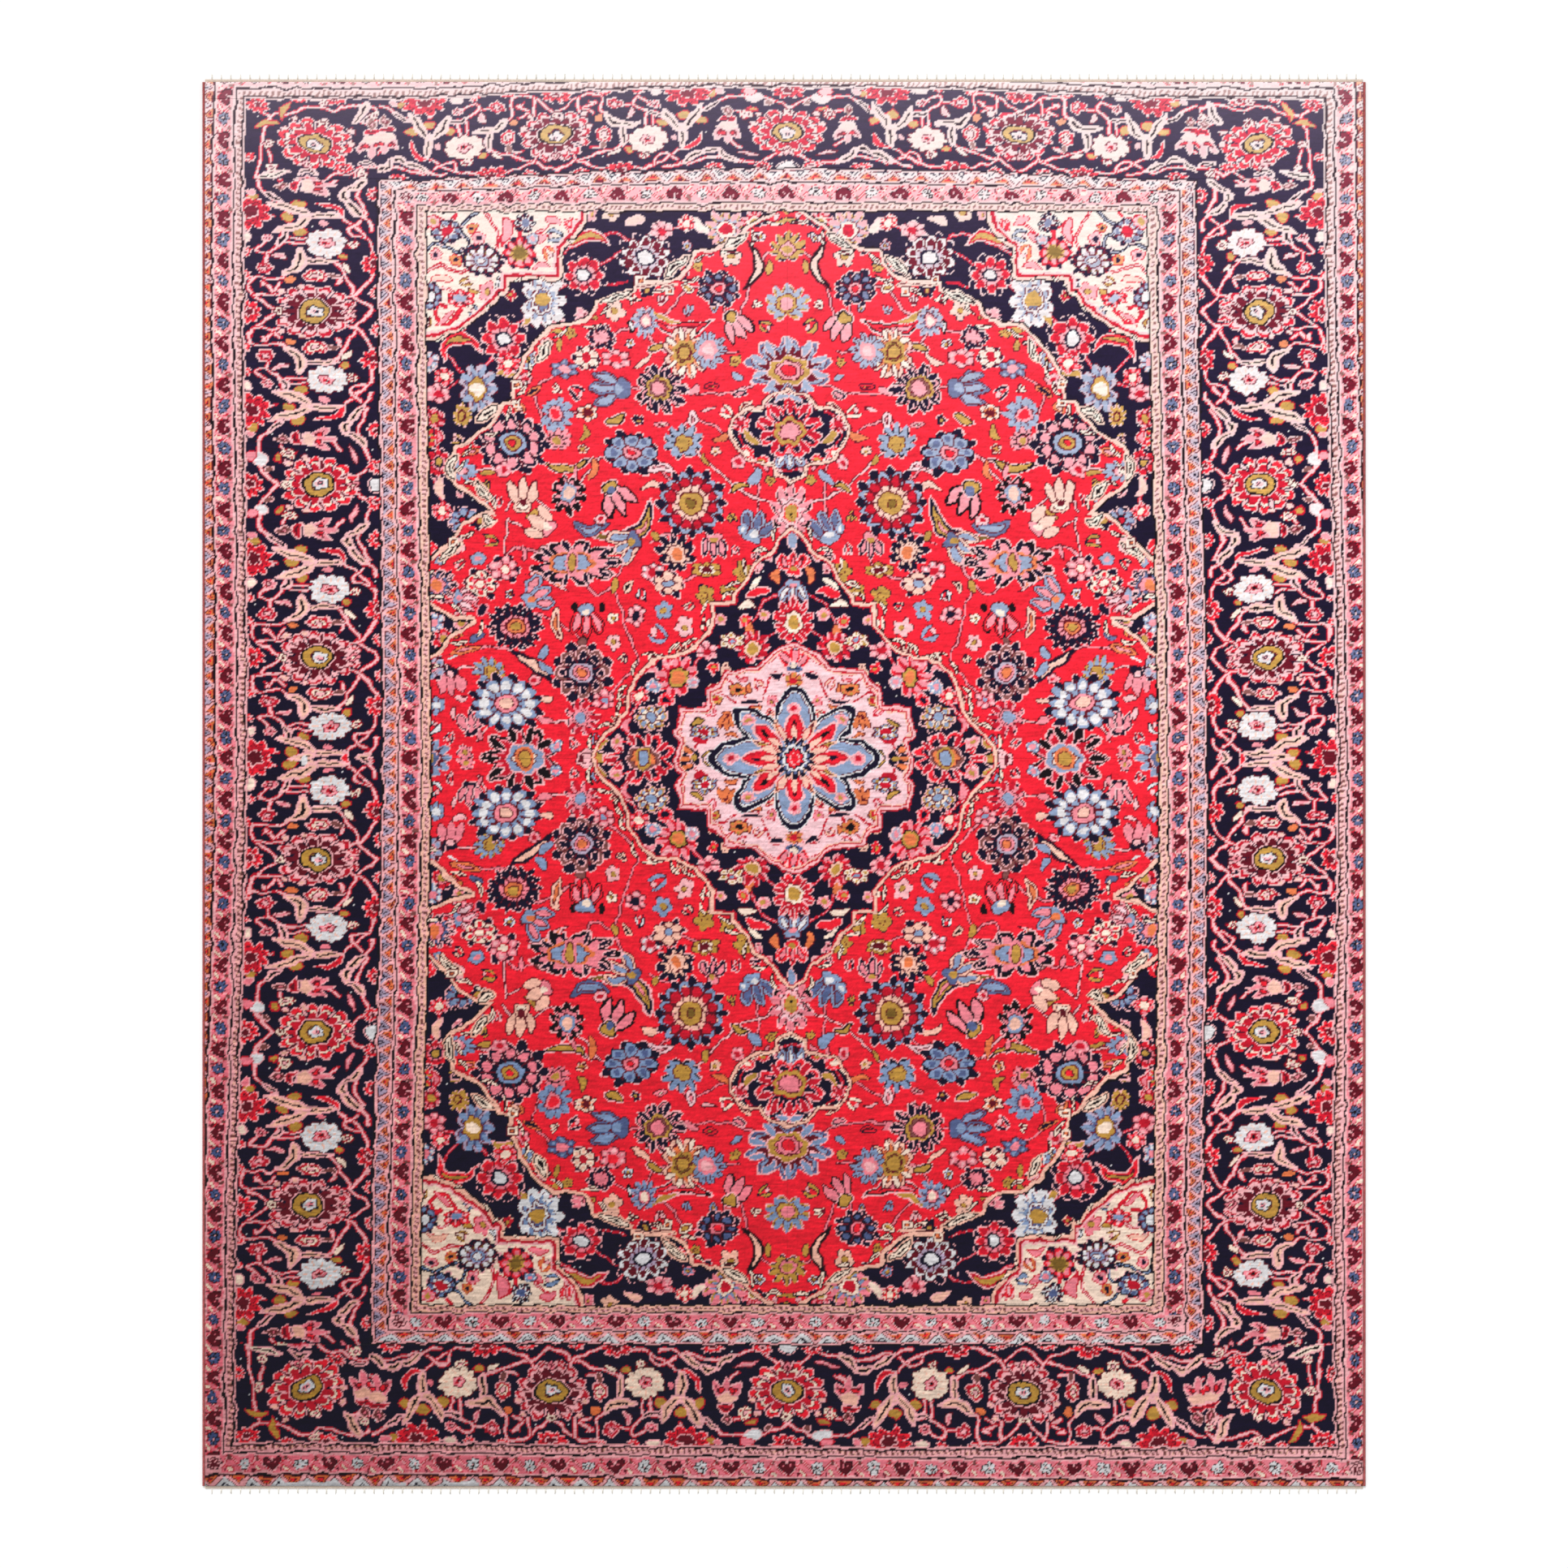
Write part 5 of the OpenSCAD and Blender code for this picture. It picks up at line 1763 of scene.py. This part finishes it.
class Finish:
    """A material's nodes, added one at a time"""

    def __init__(self, name, roughness, sheen=0.0):
        self.material = bpy.data.materials.new(name)
        self.material.use_nodes = True
        self.nodes = self.material.node_tree.nodes
        self.shader = self.nodes["Principled BSDF"]
        self.shader.inputs["Roughness"].default_value = roughness
        self.shader.inputs["Sheen Weight"].default_value = sheen
        self.shader.inputs["Sheen Roughness"].default_value = 0.5
        self.shader.inputs["Specular IOR Level"].default_value = 0.2

    def add(self, kind, **values):
        """A new node with these settings"""
        node = self.nodes.new(kind)
        for name, value in values.items():
            setattr(node, name, value)
        return node

    def join(self, output, target):
        """A link between two sockets"""
        self.material.node_tree.links.new(output, target)

    def noise(self, scale, detail, stretch=(1, 1, 1)):
        """Noise on the object's own coordinates"""
        place = self.add("ShaderNodeMapping")
        place.inputs["Scale"].default_value = stretch
        self.join(self.add("ShaderNodeTexCoord").outputs["Object"], place.inputs["Vector"])
        noise = self.add("ShaderNodeTexNoise")
        noise.inputs["Scale"].default_value = scale
        noise.inputs["Detail"].default_value = detail
        self.join(place.outputs["Vector"], noise.inputs["Vector"])
        return noise.outputs["Fac"]

    def spread(self, value, low, high):
        """A noise value that runs between two shares"""
        node = self.add("ShaderNodeMapRange")
        node.inputs["From Min"].default_value = 0.3
        node.inputs["From Max"].default_value = 0.7
        node.inputs["To Min"].default_value = low
        node.inputs["To Max"].default_value = high
        self.join(value, node.inputs["Value"])
        return node.outputs["Result"]

    def shade(self, colour, value):
        """Darkens or lightens a colour by a value"""
        node = self.add("ShaderNodeVectorMath", operation="SCALE")
        self.join(colour, node.inputs[0])
        self.join(value, node.inputs["Scale"])
        self.join(node.outputs["Vector"], self.shader.inputs["Base Color"])

    def dye(self):
        """The colour that each corner of the mesh has: its dye, with painted light and painted sheen"""
        return self.add("ShaderNodeAttribute", attribute_name="dye").outputs["Color"]

    def plain(self, colour):
        """One colour all over"""
        node = self.add("ShaderNodeRGB")
        node.outputs[0].default_value = (*colour, 1)
        return node.outputs["Color"]

    def bump(self, height, distance, strength):
        """A relief on top of the ones that the material has already"""
        node = self.add("ShaderNodeBump")
        node.inputs["Distance"].default_value = distance
        node.inputs["Strength"].default_value = strength
        self.join(height, node.inputs["Height"])
        for below in self.shader.inputs["Normal"].links:
            self.join(below.from_socket, node.inputs["Normal"])
        self.join(node.outputs["Normal"], self.shader.inputs["Normal"])

    def knots(self):
        """Rounded cells, one for each knot"""
        cells = self.add("ShaderNodeTexVoronoi")
        cells.inputs["Scale"].default_value = 1 / (KNOT * MM)
        cells.inputs["Randomness"].default_value = 0.5
        self.join(self.add("ShaderNodeTexCoord").outputs["Object"], cells.inputs["Vector"])
        return cells.outputs["Distance"]


SIDE_WOOL, BAND_COTTON, FRINGE_COTTON = (0.42, 0.10, 0.10), (0.72, 0.60, 0.50), (0.86, 0.82, 0.74)


def pile_wool(name):
    """Cut wool pile: each knot has its dye with painted light and painted sheen, fibres of uneven shade and a
    soft rounded tuft
    """
    finish = Finish(name, 0.9, 0.12)
    finish.shade(finish.dye(), finish.spread(finish.noise(900, 3, (1, 2.2, 1)), 0.88, 1.12))
    finish.bump(finish.knots(), -0.5 * MM, 0.6)
    finish.bump(finish.noise(2400, 2), 0.15 * MM, 0.5)
    return finish.material


def cotton(name, colour):
    """Undyed cotton thread, a little soiled"""
    finish = Finish(name, 0.85, 0.08)
    finish.shade(finish.plain(colour), finish.spread(finish.noise(300, 4), 0.85, 1.08))
    finish.bump(finish.noise(1800, 2, (1, 3, 1)), 0.2 * MM, 0.6)
    return finish.material


def knot_backs(name):
    """The underside: flat knot backs between cotton wefts"""
    finish = Finish(name, 0.9, 0.06)
    finish.shade(finish.dye(), finish.spread(finish.noise(500, 2, (1, 3, 1)), 0.8, 1.1))
    finish.bump(finish.knots(), -0.3 * MM, 0.5)
    return finish.material


def overcast_wool(name):
    """Red-brown wool wound round the side cords, darker in its grooves"""
    finish = Finish(name, 0.88, 0.12)
    finish.shade(finish.plain(SIDE_WOOL), finish.spread(finish.noise(160, 3), 0.7, 1.2))
    finish.bump(finish.noise(2200, 2, (3, 1, 3)), 0.2 * MM, 0.6)
    return finish.material


# ---------------------------------------------------------------- the scene


# The picture is 3.2873 m wide at the top of the pile
PICTURE_W, LENS, SENSOR, CLIP_END = 3.2873, 200, 36, 100
SKY_LIGHT, SUN_LIGHT, SUN_WIDTH, SUN_TURN = 0.68, 1.6, 0.5, (-38, -14)
FLOOR_HALF, FLOOR_PAINT = 30, (0.97, 0.97, 0.97)


def make_camera():
    """Straight above the middle of the rug, with its far end at the top"""
    data = bpy.data.cameras.new("camera")
    data.lens, data.sensor_width = LENS, SENSOR
    data.clip_end = CLIP_END
    camera = bpy.data.objects.new("camera", data)
    camera.location = (0, 0, PILE_TOP * MM + PICTURE_W * LENS / SENSOR)
    bpy.context.scene.collection.objects.link(camera)
    bpy.context.scene.camera = camera


def make_light():
    """Even light from all round, and a wide soft sun from the left and the far end"""
    world = bpy.data.worlds.new("studio")
    world.use_nodes = True
    world.node_tree.nodes["Background"].inputs["Color"].default_value = (1, 1, 1, 1)
    world.node_tree.nodes["Background"].inputs["Strength"].default_value = SKY_LIGHT
    bpy.context.scene.world = world
    data = bpy.data.lights.new("window", "SUN")
    data.energy, data.angle = SUN_LIGHT, SUN_WIDTH
    window = bpy.data.objects.new("window", data)
    window.rotation_euler = (math.radians(SUN_TURN[0]), math.radians(SUN_TURN[1]), 0)
    bpy.context.scene.collection.objects.link(window)


def make_floor():
    """A plain white floor that the rug lies on"""
    bm = bmesh.new()
    bmesh.ops.create_grid(bm, x_segments=1, y_segments=1, size=FLOOR_HALF)
    floor = finish_mesh(bm, "floor")
    finish = Finish("floor_paint", 0.8)
    finish.shader.inputs["Base Color"].default_value = (*FLOOR_PAINT, 1)
    floor.data.materials.append(finish.material)
    return floor


# The wool of each area of the pattern
FINISH_OF = {
    "field": "wool_red",
    "medallion": "wool_navy",
    "medallion_panel": "wool_pink",
    "medallion_star": "wool_light_blue",
    "pendant": "wool_navy",
    "spandrel": "wool_navy",
    "corner": "wool_ivory",
    "inner_guard": "wool_guard",
    "main_border": "wool_navy",
    "outer_guard": "wool_guard",
}


def place(piece, material, slot, *nodes):
    """Gives a piece its material, and lets it stand for its nodes on the rug's one body"""
    piece.data.materials.append(material)
    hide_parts(*nodes)
    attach(piece, "root")
    return piece


def make_pile(knots):
    """The pile, area by area. The field's four quarters stand for its one node"""
    wools = {slot: pile_wool(slot) for slot in sorted(set(FINISH_OF.values()))}
    for name in PILE_PIECES:
        area = name
        for ending in (*QUARTERS, *SIDES, *ENDS):
            area = area.removesuffix(f"_{ending}")
        slot = FINISH_OF[area]
        place(pile_piece(name, knots), wools[slot], slot, area if area == "field" else name)


def make_cotton(knots):
    """The cloth under the pile, and what edges it: the side cords, the end bands and the fringes"""
    cloth = foundation_piece(knots)
    place(cloth, knot_backs("cotton_foundation"), "cotton_foundation", "foundation")
    side_wool = overcast_wool("overcast_wool")
    band_cotton = cotton("cotton_end_band", BAND_COTTON)
    fringe_cotton = cotton("cotton_fringe", FRINGE_COTTON)
    for side in SIDES:
        place(selvedge_piece(side), side_wool, "overcast_wool", f"selvedge_{side}")
    for end in ENDS:
        place(end_band_piece(end), band_cotton, "cotton_end_band", f"kilim_end_{end}")
        place(fringe_piece(end), fringe_cotton, "cotton_fringe", f"fringe_{end}")


def main():
    """Makes the scene"""
    bpy.context.scene.view_settings.view_transform = "Standard"
    make_camera()
    make_light()
    floor = make_floor()
    knots = Knots(KNOT)
    make_pile(knots)
    make_cotton(knots)


main()
